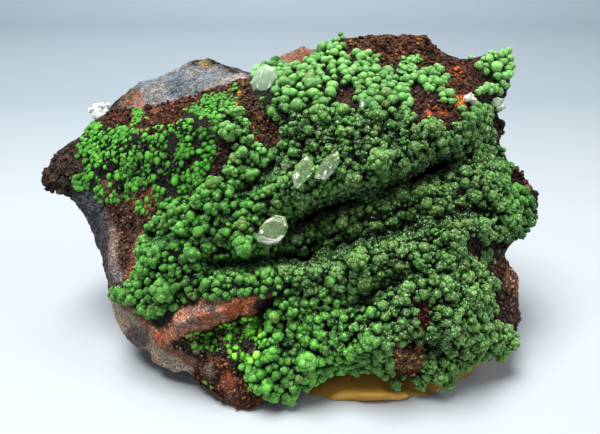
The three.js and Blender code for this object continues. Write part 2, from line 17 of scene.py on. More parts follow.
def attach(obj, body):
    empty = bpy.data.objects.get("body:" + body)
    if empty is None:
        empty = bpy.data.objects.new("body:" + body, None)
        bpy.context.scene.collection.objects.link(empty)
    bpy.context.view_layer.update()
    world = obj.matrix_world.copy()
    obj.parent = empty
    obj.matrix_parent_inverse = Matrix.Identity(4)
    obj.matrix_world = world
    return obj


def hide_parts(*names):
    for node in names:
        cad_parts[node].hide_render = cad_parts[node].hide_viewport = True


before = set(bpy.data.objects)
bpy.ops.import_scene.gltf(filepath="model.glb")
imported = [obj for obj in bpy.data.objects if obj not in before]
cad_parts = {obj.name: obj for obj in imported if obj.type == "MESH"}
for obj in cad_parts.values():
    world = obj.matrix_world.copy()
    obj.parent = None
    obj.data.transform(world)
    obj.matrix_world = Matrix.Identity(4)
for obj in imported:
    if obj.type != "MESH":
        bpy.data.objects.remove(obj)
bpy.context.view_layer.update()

MM = 0.001
LEAN = math.radians(24)
ACROSS = np.array([1.0, 0.0, 0.0])
UPWARD = np.array([0.0, math.sin(LEAN), math.cos(LEAN)])
OUTWARD = np.array([0.0, -math.cos(LEAN), math.sin(LEAN)])
FACE_MIDDLE = np.array([1.32, -7.79, 21.1])
VIEW_DISTANCE = 70.0
VIEW_WIDTH = 600
VIEW_MIDDLE = (300.0, 217.0)
FOCAL_PIXELS = 590.0
EYE = FACE_MIDDLE + VIEW_DISTANCE * OUTWARD
SENSOR_WIDTH = 36.0

rng = np.random.default_rng(29)

# Regions of the face, as outlines in the view.
DENSE_CRUST = [
    (224, 112), (238, 108), (244, 122), (248, 136), (254, 146), (276, 146), (286, 138), (284, 124),
    (276, 116), (264, 106), (258, 98), (250, 90), (254, 76), (264, 68), (278, 65), (296, 68), (306, 60),
    (318, 56), (326, 46), (334, 38), (340, 31), (347, 36), (344, 46), (342, 52), (348, 62), (356, 66),
    (356, 54), (364, 53), (376, 55), (382, 60), (374, 68), (388, 70), (394, 78), (404, 80), (416, 75),
    (426, 71), (438, 66), (446, 76), (449, 88), (442, 92), (452, 98), (454, 106), (442, 104), (434, 96),
    (426, 90), (418, 84), (408, 86), (404, 92), (412, 104), (406, 110), (416, 116), (412, 124),
    (418, 130), (430, 118), (440, 126), (448, 132), (458, 120), (458, 108), (466, 112), (474, 106),
    (484, 108), (490, 118), (489, 134), (494, 146), (504, 149), (502, 158), (510, 168), (502, 176),
    (514, 186), (524, 192), (530, 198), (532, 212), (532, 224), (522, 236), (508, 244), (500, 238),
    (490, 236), (484, 246), (474, 236), (462, 240), (462, 250), (470, 252), (474, 262), (482, 264),
    (478, 272), (490, 274), (494, 282), (486, 290), (492, 300), (494, 310), (484, 316), (494, 322),
    (507, 322), (512, 334), (516, 344), (506, 354), (500, 362), (482, 360), (468, 366), (458, 376),
    (446, 388), (428, 386), (412, 384), (396, 387), (386, 380), (370, 374), (350, 372), (334, 378),
    (318, 383), (304, 394), (290, 402), (280, 396), (268, 398), (262, 388), (252, 392), (246, 380),
    (242, 366), (252, 360), (262, 352), (262, 338), (268, 326), (270, 312), (278, 302), (286, 300),
    (280, 292), (262, 296), (246, 292), (230, 300), (212, 298), (198, 298), (184, 304), (170, 312),
    (154, 318), (140, 314), (132, 304), (114, 298), (112, 290), (126, 286), (134, 276), (140, 262),
    (138, 250), (140, 240), (148, 232), (152, 220), (162, 212), (168, 206), (180, 204), (188, 208),
    (198, 198), (206, 186), (212, 177), (222, 180), (228, 174), (224, 168), (232, 160), (238, 156),
    (234, 146), (238, 138), (226, 140), (219, 132),
]
TOP_RIGHT_CRUST = [
    (472, 68), (478, 61), (486, 55), (496, 50), (504, 46), (511, 54), (513, 70), (510, 80), (503, 92),
    (494, 94), (478, 98), (474, 92), (482, 86), (496, 86), (492, 76), (480, 72),
]
SPRINKLED = [
    (70, 178), (80, 168), (76, 150), (82, 138), (88, 128), (98, 119), (106, 124), (128, 124),
    (134, 110), (144, 112), (152, 128), (176, 124), (184, 108), (200, 102), (214, 92), (228, 88),
    (238, 84), (234, 108), (222, 112), (218, 132), (222, 142), (214, 152), (212, 176), (204, 186),
    (198, 198), (188, 206), (176, 204), (164, 210), (152, 216), (140, 212), (136, 202), (116, 202),
    (98, 200), (92, 190), (78, 190),
]
LOWER_SPRINKLED = [
    (184, 334), (214, 328), (236, 320), (250, 316), (262, 320), (264, 340), (262, 354), (250, 362),
    (236, 360), (226, 352), (208, 350), (192, 346),
]
SPARSE_PATCHES = [
    [(398, 56), (422, 56), (420, 66), (414, 74), (398, 74)],
    [(230, 84), (250, 82), (246, 98), (232, 104)],
    [(458, 60), (470, 58), (472, 64), (460, 64)],
    [(478, 250), (498, 250), (496, 262), (480, 262)],
    [(206, 380), (216, 380), (216, 392), (206, 390)],
    [(380, 328), (414, 330), (414, 346), (386, 350)],
    [(412, 350), (430, 350), (428, 362), (414, 358)],
]
BARE_IN_CRUST = [
    [(333, 90), (340, 85), (350, 87), (357, 96), (352, 107), (340, 107), (333, 100)],
    [(416, 300), (424, 298), (430, 312), (429, 329), (420, 331), (414, 316)],
    [(388, 352), (396, 342), (408, 339), (420, 344), (425, 358), (420, 372), (408, 377), (394, 372)],
    [(462, 238), (474, 236), (486, 242), (487, 254), (476, 258), (464, 252)],
]
# Grooves between the ledges, as (path in the view, half width in pixels, depth in millimetres).
CLEFTS = [
    ([(290, 229), (303, 221), (325, 210), (345, 203)], 10, 6.0),
    ([(345, 203), (365, 197), (390, 188), (410, 181)], 8, 5.5),
    ([(410, 181), (430, 169), (447, 165)], 11, 6.0),
    ([(242, 194), (258, 184), (270, 172), (278, 164)], 7, 4.0),
    ([(150, 238), (176, 240), (200, 241), (230, 242)], 5, 2.6),
    ([(206, 267), (220, 264), (236, 264)], 8, 3.6),
    ([(250, 263), (285, 258), (320, 251), (352, 244), (392, 230), (420, 224), (456, 213), (494, 212)],
     8, 2.4),
    ([(285, 257), (298, 257), (308, 260)], 10, 4.5),
    ([(322, 250), (336, 246), (350, 245)], 7, 3.4),
    ([(372, 236), (392, 229), (420, 224)], 8, 3.2),
    ([(460, 211), (476, 209), (492, 212)], 7, 3.4),
    ([(354, 305), (370, 297), (386, 286), (398, 277)], 8, 3.6),
    ([(410, 343), (424, 342), (436, 347)], 8, 3.6),
    ([(262, 314), (270, 304), (284, 296), (300, 288)], 6, 2.2),
    ([(224, 218), (230, 219)], 7, 2.4),
    ([(332, 322), (333, 323)], 6, 2.2),
    ([(298, 349), (300, 350)], 6, 2.2),
    ([(286, 341), (289, 342)], 6, 2.2),
    ([(361, 323), (366, 321)], 7, 2.4),
    ([(296, 128), (306, 138), (310, 146)], 5, 2.0),
    ([(356, 140), (362, 148), (360, 172)], 5, 2.4),
    ([(392, 138), (402, 146), (398, 150)], 6, 2.4),
]

# Notches in the rock's outline, as circles (x, y, radius) in the view.
NOTCHES = [(511, 111, 15), (184, 380, 10), (143, 357, 9)]
# Brown lumps along the right edge, as (x, y in the view, radius in millimetres).
EDGE_LUMPS = [
    (496, 121, 0.5), (499, 126, 0.7), (498, 132, 0.6), (494, 137, 0.5), (514, 163, 0.5),
    (518, 169, 0.6), (522, 175, 0.7), (525, 182, 0.6), (527, 189, 0.7), (530, 197, 0.8),
    (531, 205, 0.6), (530, 212, 0.7), (526, 219, 0.5), (521, 166, 0.4), (533, 201, 0.4),
]

# Lumps of rock at the blunt left tip, as (x, y in the view, radius and height in millimetres).
TIP_LUMPS = [
    (48, 174, 0.9, -8.6), (50, 182, 1.0, -8.6), (54, 188, 0.8, -8.6), (58, 184, 1.1, -8.2),
    (62, 190, 0.7, -8.4), (55, 178, 0.9, -8.0), (64, 184, 0.9, -8.0), (48, 189, 0.5, -8.8),
    (66, 192, 0.6, -8.2), (45, 178, 0.5, -8.8), (52, 191, 0.4, -8.6), (58, 192, 0.4, -8.4),
]

# Globules that stand out, as (x, y, radius) in the view.
GLOBULES = [
    # the upper bank
    (341, 36, 3), (343, 41, 3), (336, 44, 4), (331, 50, 4), (339, 52, 4), (334, 57, 5),
    (342, 65, 5), (326, 65, 5), (316, 63, 6), (303, 75, 6),
    (310, 75, 6), (282, 70, 4), (293, 66, 3), (285, 88, 7), (288, 78, 5), (312, 88, 8), (327, 83, 5),
    (334, 81, 4), (303, 98, 5), (321, 98, 4), (297, 109, 8), (299, 125, 8), (293, 133, 9),
    (321, 117, 10), (344, 113, 7), (347, 82, 5), (354, 83, 4), (268, 93, 8), (257, 95, 6),
    (262, 104, 4), (276, 103, 4), (273, 113, 5), (277, 117, 4), (283, 123, 3), (255, 133, 3),
    (233, 115, 6), (228, 130, 9), (238, 134, 5), (243, 141, 4), (362, 58, 5), (375, 60, 4),
    (405, 62, 4), (412, 60, 4), (418, 59, 3), (411, 68, 4), (401, 70, 4), (374, 73, 6), (387, 74, 6),
    (395, 81, 4), (405, 82, 5), (425, 75, 5), (437, 70, 4), (430, 77, 5), (443, 83, 5), (431, 92, 4),
    (441, 98, 4), (449, 103, 4), (477, 68, 5), (486, 62, 5), (494, 57, 4), (501, 55, 5),
    (506, 52, 4), (507, 60, 5), (508, 68, 5),
    (500, 64, 5), (505, 76, 5), (498, 84, 4), (492, 90, 4), (478, 92, 5),
    (398, 94, 5), (385, 97, 7), (372, 98, 6), (376, 118, 9), (390, 125, 6), (412, 119, 5),
    (402, 112, 5), (405, 134, 4), (350, 133, 6), (432, 131, 8), (433, 121, 3), (412, 148, 7),
    (425, 154, 5), (377, 160, 12), (381, 168, 7), (395, 156, 6), (400, 170, 8), (411, 167, 5),
    (420, 166, 5), (352, 175, 9), (365, 185, 10), (357, 160, 4), (329, 192, 9), (301, 197, 8),
    (284, 185, 7), (296, 218, 4), (295, 153, 6), (455, 150, 5), (465, 150, 4), (478, 160, 5),
    (487, 142, 5), (483, 118, 6), (447, 155, 5), (470, 195, 7), (507, 222, 10), (316, 150, 6),
    (330, 148, 5), (362, 80, 5), (392, 88, 5), (366, 70, 5), (415, 132, 5), (421, 143, 5),
    (340, 135, 6), (328, 136, 5), (345, 150, 5), (456, 164, 6), (466, 134, 6), (476, 128, 5),
    (452, 138, 6), (440, 146, 6), (494, 168, 6), (484, 178, 6), (496, 184, 6), (506, 192, 6),
    (516, 200, 5), (500, 204, 6), (486, 196, 6), (478, 206, 5), (522, 212, 6), (514, 232, 6),
    (528, 206, 5), (526, 222, 5), (500, 232, 6), (462, 182, 6), (474, 176, 5), (452, 190, 6),
    (464, 202, 5),
    # left of the middle
    (228, 170, 6), (232, 183, 7), (243, 168, 5), (251, 171, 7), (241, 201, 8), (257, 196, 5),
    (268, 192, 5), (232, 208, 5), (245, 212, 3), (213, 184, 8), (207, 193, 8), (200, 202, 8),
    (176, 211, 7), (166, 224, 6), (155, 224, 5), (184, 227, 8), (197, 222, 6), (202, 231, 7),
    (214, 208, 7), (218, 197, 5), (228, 225, 5), (241, 226, 7), (249, 220, 4), (255, 223, 4),
    (222, 235, 7), (243, 243, 11), (145, 243, 6), (163, 249, 10), (177, 248, 6), (192, 252, 8),
    (208, 248, 7), (222, 247, 5), (204, 261, 6), (152, 262, 5), (167, 266, 5), (163, 275, 5),
    (172, 276, 4), (145, 270, 6), (165, 290, 12), (128, 293, 6), (117, 294, 4), (146, 307, 6),
    (155, 309, 7), (163, 307, 6), (200, 273, 5), (213, 270, 5), (222, 283, 5), (231, 283, 5),
    (240, 283, 5), (208, 285, 6), (219, 294, 5), (232, 295, 4), (142, 283, 6), (180, 284, 5),
    (190, 286, 5), (152, 252, 5), (137, 275, 5), (250, 183, 5), (262, 152, 5), (254, 158, 5),
    (278, 152, 5), (290, 170, 5), (272, 184, 5), (262, 206, 5), (276, 200, 6), (288, 204, 6),
    # the middle ledges
    (310, 233, 6), (295, 238, 6), (329, 225, 6), (345, 223, 7), (358, 225, 7), (373, 222, 5),
    (375, 207, 6), (386, 210, 6), (404, 197, 8), (408, 218, 5), (421, 195, 8), (433, 185, 6),
    (440, 178, 4), (433, 207, 8), (447, 205, 5), (314, 251, 7), (253, 282, 6), (265, 278, 8),
    (275, 278, 6), (287, 275, 8), (315, 275, 8), (327, 262, 9), (340, 275, 8), (345, 258, 5),
    (358, 262, 10), (362, 277, 8), (380, 262, 7), (393, 250, 6), (410, 240, 7), (427, 231, 10),
    (445, 230, 7), (452, 237, 6), (465, 228, 6), (478, 227, 8), (486, 237, 4), (485, 257, 6),
    (445, 255, 9), (455, 248, 8), (458, 265, 8), (425, 259, 7), (423, 248, 6), (463, 277, 8),
    (488, 280, 5), (441, 286, 9), (423, 283, 6), (465, 293, 8), (480, 288, 6), (372, 246, 5),
    (384, 244, 5), (398, 262, 6), (405, 270, 6), (300, 278, 7), (328, 280, 6), (352, 286, 6),
    # the lower bank
    (377, 295, 8), (385, 306, 6), (400, 285, 8), (410, 290, 7), (405, 312, 5), (413, 320, 5),
    (432, 325, 5), (438, 308, 5), (418, 335, 6), (450, 326, 8), (450, 350, 6), (462, 350, 5),
    (483, 309, 5), (475, 312, 4), (470, 325, 6), (482, 325, 6), (478, 340, 8), (487, 335, 7),
    (505, 328, 5), (508, 341, 7), (498, 355, 6), (437, 371, 8), (370, 337, 9), (362, 308, 8),
    (350, 310, 7), (335, 312, 6), (325, 300, 5), (345, 302, 4), (333, 333, 5), (320, 331, 6),
    (305, 340, 5), (306, 357, 10), (328, 355, 6), (340, 367, 6), (350, 347, 8), (355, 367, 6),
    (322, 372, 6), (297, 375, 5), (305, 385, 5), (289, 395, 8), (286, 379, 6), (267, 385, 8),
    (252, 375, 8), (272, 355, 8), (276, 314, 7), (291, 308, 6), (272, 328, 6), (258, 320, 4),
    (249, 329, 4), (236, 330, 3), (230, 341, 6), (246, 357, 4), (233, 354, 3), (260, 361, 5),
    (395, 383, 6), (420, 384, 6), (446, 384, 6), (452, 298, 6), (396, 326, 5), (386, 318, 5),
    (456, 336, 6), (464, 338, 6), (446, 340, 5), (492, 344, 6), (484, 352, 5), (426, 372, 5),
    (442, 360, 5), (380, 350, 6), (376, 362, 7), (384, 372, 6), (366, 354, 6), (360, 342, 6),
    (312, 318, 6), (300, 326, 6), (290, 332, 5), (282, 344, 5), (292, 352, 5), (284, 366, 5),
    (314, 300, 5), (304, 308, 5), (300, 294, 5), (268, 342, 5), (256, 386, 5), (276, 372, 5),
    # the thin crust at the left
    (93, 155, 9), (86, 148, 6), (97, 160, 6), (92, 130, 6), (97, 126, 5), (82, 182, 8), (88, 174, 6),
    (137, 118, 5), (137, 112, 4), (129, 162, 8), (135, 158, 6), (127, 172, 5), (132, 183, 5),
    (138, 184, 6), (146, 182, 4), (152, 179, 4), (118, 174, 4), (187, 150, 7), (181, 154, 5),
    (207, 101, 4), (215, 98, 4), (221, 98, 3), (142, 211, 3), (139, 206, 3), (103, 137, 5),
    (125, 132, 5), (135, 134, 5), (114, 138, 5), (160, 138, 4), (176, 178, 4), (186, 176, 4),
    (194, 172, 5), (200, 168, 5), (206, 166, 3), (198, 180, 5), (196, 112, 4), (188, 124, 5),
    (204, 114, 4), (216, 120, 6), (214, 126, 4), (204, 133, 4), (152, 158, 4), (160, 158, 5),
    (100, 190, 4), (102, 200, 3), (115, 198, 4), (147, 169, 4),
]

# The rock's colours: an outline in the view or a spot (x, y, radius), darkest and lightest
# colour, and how coarse its grains stand out in millimetres.
ROCK_ZONES = [
    ([(343, 38), (372, 34), (400, 31), (414, 30), (432, 37), (443, 50), (448, 60), (436, 69), (424, 71),
      (404, 58), (384, 70), (372, 66), (356, 52), (346, 60), (341, 46)], (32, 20, 13), (170, 106, 58), 0.34),
    ([(438, 56), (460, 58), (476, 57), (488, 60), (480, 84), (496, 84), (482, 98), (470, 106),
      (456, 112), (446, 94), (446, 76)], (44, 30, 21), (132, 84, 54), 0.34),
    ([(404, 84), (418, 80), (426, 86), (434, 98), (442, 106), (456, 108), (460, 120), (446, 130),
      (430, 118), (420, 132), (410, 126), (414, 112), (404, 106)], (38, 24, 17), (128, 76, 48), 0.34),
    ([(331, 88), (340, 83), (352, 86), (359, 96), (353, 109), (338, 109), (331, 100)],
     (46, 30, 20), (124, 86, 58), 0.3),
    ([(236, 92), (250, 88), (262, 100), (270, 118), (284, 122), (288, 140), (276, 150), (254, 150),
      (244, 138), (238, 118)], (18, 13, 10), (146, 102, 68), 0.34),
    ([(214, 138), (234, 140), (232, 152), (226, 166), (222, 178), (212, 176), (210, 160)],
     (44, 30, 22), (106, 76, 58), 0.3),
    ([(96, 120), (112, 109), (122, 105), (150, 103), (180, 97), (208, 89), (232, 79), (258, 70),
      (260, 84), (240, 96), (220, 98), (200, 106), (182, 114), (178, 130), (150, 134), (120, 128),
      (100, 128)], (44, 29, 21), (142, 82, 50), 0.3),
    ([(118, 106), (122, 94), (138, 80), (165, 72), (190, 60), (203, 52), (224, 58), (246, 70),
      (258, 66), (256, 76), (232, 81), (208, 90), (180, 98), (150, 105), (130, 109)],
     (104, 108, 108), (134, 134, 136), 0.12),
    ([(150, 102), (180, 94), (214, 83), (240, 73), (250, 72), (243, 78), (214, 88), (182, 98), (152, 106)],
     (124, 116, 112), (172, 164, 160), 0.14),
    ([(184, 68), (194, 58), (212, 55), (226, 60), (244, 71), (238, 74), (220, 66), (206, 62), (192, 68)],
     (40, 34, 30), (88, 76, 66), 0.24),
    ([(160, 85), (178, 80), (200, 82), (208, 87), (196, 93), (180, 97), (166, 92)],
     (48, 58, 64), (120, 128, 130), 0.16),
    ((204, 63, 5), (96, 76, 34), (158, 130, 60), 0.2),
    ([(116, 104), (124, 92), (136, 84), (138, 94), (132, 108)], (74, 52, 38), (136, 98, 70), 0.2),
    ((140, 95, 4), (128, 74, 46), (180, 100, 60), 0.14),
    ((139, 106, 5), (124, 70, 46), (176, 96, 64), 0.14),
    ((153, 110, 4), (118, 66, 44), (168, 92, 60), 0.14),
    ([(262, 66), (280, 52), (300, 44), (318, 48), (324, 56), (310, 61), (296, 66), (280, 68)],
     (112, 70, 46), (160, 128, 114), 0.14),
    ((303, 56, 8), (92, 52, 32), (168, 100, 58), 0.2),
    ([(38, 168), (58, 148), (82, 140), (80, 168), (74, 184), (78, 200), (58, 200), (44, 190)],
     (38, 30, 24), (122, 98, 78), 0.34),
    ([(100, 150), (140, 140), (170, 150), (200, 168), (170, 186), (120, 190), (96, 180)],
     (12, 14, 8), (48, 46, 32), 0.24),
    ((108, 185, 7), (104, 66, 52), (150, 104, 86), 0.1),
    ([(70, 190), (100, 194), (110, 214), (118, 236), (113, 262), (110, 296), (100, 290), (84, 240),
      (72, 210)], (20, 20, 22), (84, 84, 88), 0.2),
    ([(96, 194), (128, 192), (158, 186), (162, 206), (152, 220), (148, 236), (138, 250), (136, 270),
      (124, 288), (112, 298), (112, 262), (119, 236), (110, 214)], (56, 38, 28), (146, 104, 78), 0.26),
    ([(110, 226), (119, 232), (118, 250), (122, 276), (112, 292), (109, 264)],
     (104, 84, 74), (142, 128, 120), 0.08),
    ((152, 193, 7), (112, 46, 28), (158, 70, 42), 0.14),
    ([(126, 197), (140, 200), (156, 206), (150, 211), (136, 207), (124, 202)],
     (120, 56, 32), (170, 92, 56), 0.14),
    ([(140, 232), (156, 222), (146, 240), (136, 262), (130, 284), (124, 282), (130, 256)],
     (96, 52, 36), (158, 100, 74), 0.16),
    # A facet that faces downward, lighter than its own colour as painted light from below.
    ([(104, 294), (122, 296), (140, 312), (152, 324), (160, 340), (176, 352), (200, 362), (200, 378),
      (184, 378), (158, 376), (144, 352), (126, 348), (112, 318)], (152, 136, 114), (190, 170, 144), 0.1),
    ([(116, 296), (128, 302), (152, 322), (164, 342), (192, 358), (204, 366), (196, 368), (168, 352),
      (152, 340), (140, 322), (118, 304)], (112, 68, 48), (158, 102, 76), 0.12),
    ((136, 336, 13), (22, 26, 34), (66, 68, 78), 0.16),
    ([(146, 325), (165, 328), (185, 309), (210, 298), (220, 300), (252, 297), (256, 309), (236, 319),
      (206, 331), (184, 334), (170, 343), (156, 348)], (168, 108, 84), (208, 144, 112), 0.22),
    ([(186, 312), (206, 302), (218, 302), (222, 312), (204, 322), (188, 326)],
     (122, 92, 80), (160, 124, 108), 0.2),
    ([(224, 301), (256, 297), (280, 292), (268, 312), (244, 318), (226, 314)],
     (136, 74, 48), (236, 152, 104), 0.2),
    ([(152, 328), (166, 329), (170, 338), (158, 346)], (168, 92, 66), (216, 140, 104), 0.2),
    ((208, 312, 5), (70, 74, 78), (132, 132, 132), 0.1),
    ((204, 319, 8), (140, 72, 46), (196, 112, 78), 0.16),
    ((230, 311, 9), (150, 70, 40), (212, 118, 74), 0.16),
    ((162, 336, 7), (176, 86, 60), (226, 128, 92), 0.2),
    ((181, 321, 5), (150, 118, 106), (190, 160, 146), 0.12),
    ((192, 321, 4), (74, 78, 80), (134, 130, 126), 0.1),
    ((178, 329, 4), (80, 84, 86), (136, 132, 128), 0.1),
    ((240, 308, 8), (150, 80, 50), (214, 132, 88), 0.16),
    ([(252, 300), (266, 298), (282, 290), (284, 298), (270, 314), (256, 316)],
     (40, 28, 26), (72, 54, 48), 0.14),
    ([(166, 346), (186, 334), (206, 332), (236, 320), (262, 318), (264, 336), (250, 366), (236, 372),
      (218, 360), (196, 356), (180, 352)], (24, 20, 14), (132, 118, 92), 0.3),
    ([(196, 362), (212, 354), (228, 362), (244, 376), (256, 388), (266, 404), (252, 416), (228, 412),
      (208, 396), (190, 382)], (62, 42, 30), (168, 108, 68), 0.26),
    ((210, 371, 7), (88, 74, 64), (130, 114, 100), 0.06),
    ((228, 380, 9), (130, 58, 34), (176, 94, 58), 0.16),
    ((231, 398, 8), (48, 38, 38), (84, 66, 62), 0.08),
    ((251, 404, 8), (110, 42, 30), (160, 78, 54), 0.26),
    ([(488, 118), (506, 120), (508, 134), (500, 148), (489, 142)], (28, 18, 15), (84, 54, 42), 0.26),
    ([(500, 82), (514, 84), (512, 96), (500, 98)], (34, 24, 18), (92, 62, 48), 0.24),
    ([(500, 172), (514, 162), (530, 176), (544, 200), (542, 218), (530, 226), (528, 200), (514, 186)],
     (36, 23, 20), (104, 68, 52), 0.26),
    ([(460, 238), (474, 234), (490, 240), (504, 236), (510, 248), (500, 254), (488, 252), (476, 260),
      (464, 254)], (28, 19, 16), (86, 54, 40), 0.24),
    ([(462, 256), (482, 258), (500, 258), (508, 268), (504, 280), (492, 276), (476, 272)],
     (56, 36, 27), (136, 88, 60), 0.26),
    ((467, 256, 4), (168, 84, 36), (216, 124, 58), 0.14),
    ((473, 264, 5), (176, 80, 34), (220, 118, 54), 0.14),
    ((479, 272, 4), (160, 76, 36), (208, 110, 56), 0.14),
    ([(502, 252), (512, 256), (522, 272), (524, 292), (512, 296), (506, 280), (508, 268)],
     (146, 104, 78), (188, 142, 108), 0.24),
    ([(488, 284), (500, 274), (508, 284), (514, 296), (524, 318), (524, 332), (514, 344), (510, 326),
      (494, 318), (494, 300)], (32, 24, 18), (138, 104, 78), 0.3),
    ([(384, 352), (394, 340), (408, 336), (422, 342), (428, 358), (422, 374), (408, 380), (392, 375)],
     (120, 82, 56), (228, 168, 116), 0.34),
    ((391, 354, 6), (176, 92, 44), (226, 134, 70), 0.24),
    ((416, 366, 5), (110, 50, 34), (160, 84, 56), 0.2),
    ([(413, 298), (426, 297), (432, 312), (430, 332), (419, 333), (412, 316)],
     (54, 32, 24), (130, 66, 42), 0.24),
    ((457, 73, 8), (146, 74, 38), (212, 118, 62), 0.24),
    ((461, 101, 8), (196, 94, 34), (250, 148, 72), 0.2),
    ((430, 113, 4), (150, 70, 34), (200, 104, 56), 0.2),
    ((446, 112, 5), (136, 66, 34), (186, 98, 54), 0.2),
    ((239, 93, 4), (170, 120, 26), (214, 170, 60), 0.16),
    ((236, 104, 3), (160, 116, 30), (204, 162, 64), 0.16),
    ((258, 115, 4), (130, 78, 40), (176, 116, 66), 0.2),
    ((245, 126, 3), (130, 60, 30), (176, 92, 52), 0.2),
    ((263, 134, 4), (120, 62, 34), (170, 96, 58), 0.2),
]
# The broken sides and back.
BACK_DARK = (58, 46, 40)
BACK_LIGHT = (128, 112, 102)
BACK_RUST = (126, 82, 54)

# The rock's mesh and the grains in its surface, in millimetres.
ROCK_VOXEL = 0.48
GRAIN_SIZE = 0.55
# Zones at least this coarse have loose grains on them.
GRAINY = 0.24
# How far patches of the rock lean to red or to blue.
WARM_PATCH = np.array([0.45, 0.06, -0.35])
# The rock outside all zones, and the rock that shows between the globules: a dark green made near black,
# partly painted shade in the gaps.
FIELD_DARK = (8, 13, 5)
FIELD_LIGHT = (42, 38, 24)
UNDER_SHADED_DARK = (5, 10, 4)
UNDER_SHADED_LIGHT = (18, 34, 13)
# How far the rock rises under the crust, and the broad domes of the crust in pixels and millimetres.
ROCK_UNDER_CRUST = 0.5
DOME_WIDTH = 21.0
DOME_HEIGHT = 1.8

# The part of the view over which globules and grains are strewn.
STREWN_X = (40, 545)
STREWN_Y = (28, 408)
# Above this height in the view the globules are mostly smooth single balls.
TOP_SINGLE = 116
# Large globules: how far apart they are in radii, and what share of the smaller ones has knobs.
CLUSTER_GAP = 1.25
CLUSTERED = 0.62
# The knobs packed round a large globule: their size, and how deep they sink in, in radii.
KNOB_SIZE = 0.42
KNOB_SINK = 0.64
# How much larger globules are where the crust is plump.
PLUMP = 0.4
# From these radii on, a globule is made of finer meshes.
FINE_FROM = 0.37
FINEST_FROM = 0.52
# How much painted shade neighbouring globules put on each other, and from how far.
CROWDING = 0.55
CROWD_REACH = 0.5
# How much brighter the lower part of the crust is, as painted light from below, and how much brighter its
# middle is.
LOWER_PAINTED_LIGHT = 0.5
MIDDLE_LIFT = 0.26
# Red and blue fade sooner than green in the shade between the globules.
SHADE_POWERS = np.array([1.65, 1.15, 1.85])
# The last step of the globules' colour: a gain after a power that evens it out.
PALER_POWER = 0.87
PALER_GAIN = 0.84
GREEN_BRIGHT = (80, 162, 44)
GREEN_DEEP = (66, 138, 40)
GREEN_OLIVE = (96, 108, 46)
GREEN_PASTEL = (122, 184, 98)
GREEN_GREY = (80, 120, 56)
# The low patch on bare rock is brighter and yellower than the rest.
LIME_SHIFT = np.array([2.9, 2.1, 2.0])
# What share of the large globules has an olive cap.
OLIVE_SHARE = 0.14
# The tiny crystals of the sugary crust: how far they tilt, and the pale colour painted on those that glint, a
# painted highlight.
FACET_TILT = 0.55
PAINTED_GLINT_COLOUR = (160, 204, 142)

# Crystals: outline in the view, how far out the middle is and half the depth in millimetres.
CRYSTALS = {
    "calcite_crystal_1": (
        [(292, 175), (297, 165), (303, 158), (308, 156), (313, 162), (315, 169), (309, 178),
         (302, 185), (297, 189), (294, 186)], 4.95, 0.9),
    "calcite_crystal_2": (
        [(339, 152), (340, 162), (334, 172), (325, 180), (314, 178), (318, 168), (325, 158), (331, 154)],
        5.15, 0.9),
    "calcite_crystal_3": (
        [(256, 238), (260, 227), (266, 220), (276, 215), (285, 217), (288, 226), (285, 236), (279, 243),
         (268, 245), (259, 242)], 2.8, 1.0),
    "calcite_crystal_4": (
        [(253, 92), (251, 82), (256, 70), (265, 64), (275, 68), (279, 78), (274, 90), (263, 97)], -2.2, 0.8),
    "calcite_crystal_5": ([(280, 163), (290, 165), (287, 170), (284, 174)], 2.2, 0.5),
    "calcite_crystal_6": (
        [(488, 104), (491, 97), (499, 95), (505, 99), (504, 106), (497, 110), (490, 109)], -5.9, 0.8),
    "calcite_crystal_7": ([(465, 100), (467, 94), (472, 90), (474, 96), (472, 102), (467, 103)], -0.5, 0.6),
    "calcite_crystal_8": ([(359, 107), (360, 100), (363, 98), (366, 102), (365, 107), (362, 109)], 3.4, 0.45),
    "calcite_crystal_9": (
        [(89, 116), (90, 110), (95, 105), (100, 107), (105, 105), (111, 108), (113, 115), (108, 122),
         (98, 124), (91, 121)], -11.7, 1.0),
}
# White sheets inside the clear crystals, as outlines in the view: some are cracks and white crust, some
# painted highlights for glints and a bright rim.
CRACKS_AND_GLINTS = {
    "calcite_crystal_1": [
        [(293.5, 175), (296.5, 172.5), (300, 174.5), (297, 179), (294.5, 178.5)],
        [(296, 187), (296.5, 183.5), (300, 183.5), (301, 184.8), (298, 188)],
        [(306.5, 178), (309, 174.5), (310, 176)],
        [(303.5, 159.5), (307.5, 157.3), (306.5, 160)],
    ],
    "calcite_crystal_2": [
        [(315.5, 178), (318.3, 173.5), (320.5, 174.5), (319.5, 178.6)],
        [(321.5, 178.6), (324, 171.5), (326.8, 170), (326, 175), (324.6, 178.6)],
        [(332, 155.3), (338, 153.6), (338.7, 159), (337.3, 158.6), (337, 155.4)],
        [(329, 168), (331.5, 165.5), (331, 168.5)],
    ],
    "calcite_crystal_3": [
        [(259, 237), (262.5, 235.5), (268, 238.5), (276, 239), (282, 234.5), (284, 235.5), (279.5, 241),
         (270, 243.3), (262, 241.5)],
        [(264, 223.5), (269, 219.5), (275, 217.3), (270, 220.5)],
        [(260, 231), (262.5, 229.5), (263.5, 232.5), (261, 234)],
        [(282, 219.5), (284, 220), (285.8, 225), (284.6, 226)],
    ],
    "calcite_crystal_4": [
        [(261, 70), (264, 68), (262, 75), (259, 79)],
        [(269, 84), (271, 80), (270.5, 86), (267, 89)],
        [(256, 86), (258, 83), (258.5, 89)],
        [(267, 72), (268, 70), (266.5, 79)],
    ],
    "calcite_crystal_8": [[(361, 106), (361.5, 101.5), (363.5, 102), (363, 107)]],
}
# How many grains of calcite are heaped on a crystal that is an aggregate.
GRANULAR = {"calcite_crystal_9": 26, "calcite_crystal_7": 14, "calcite_crystal_6": 5}
# How far out a crystal's upper end stands before its lower end, in millimetres for each pixel.
CRYSTAL_LEAN = 0.02
# The rings of a blade, from front to back, as shares of its outline and of half its depth.
BLADE_RINGS = ((0.7, 1.0), (1.0, 0.35), (0.97, -0.35), (0.7, -1.0))
CALCITE_IOR = 1.49
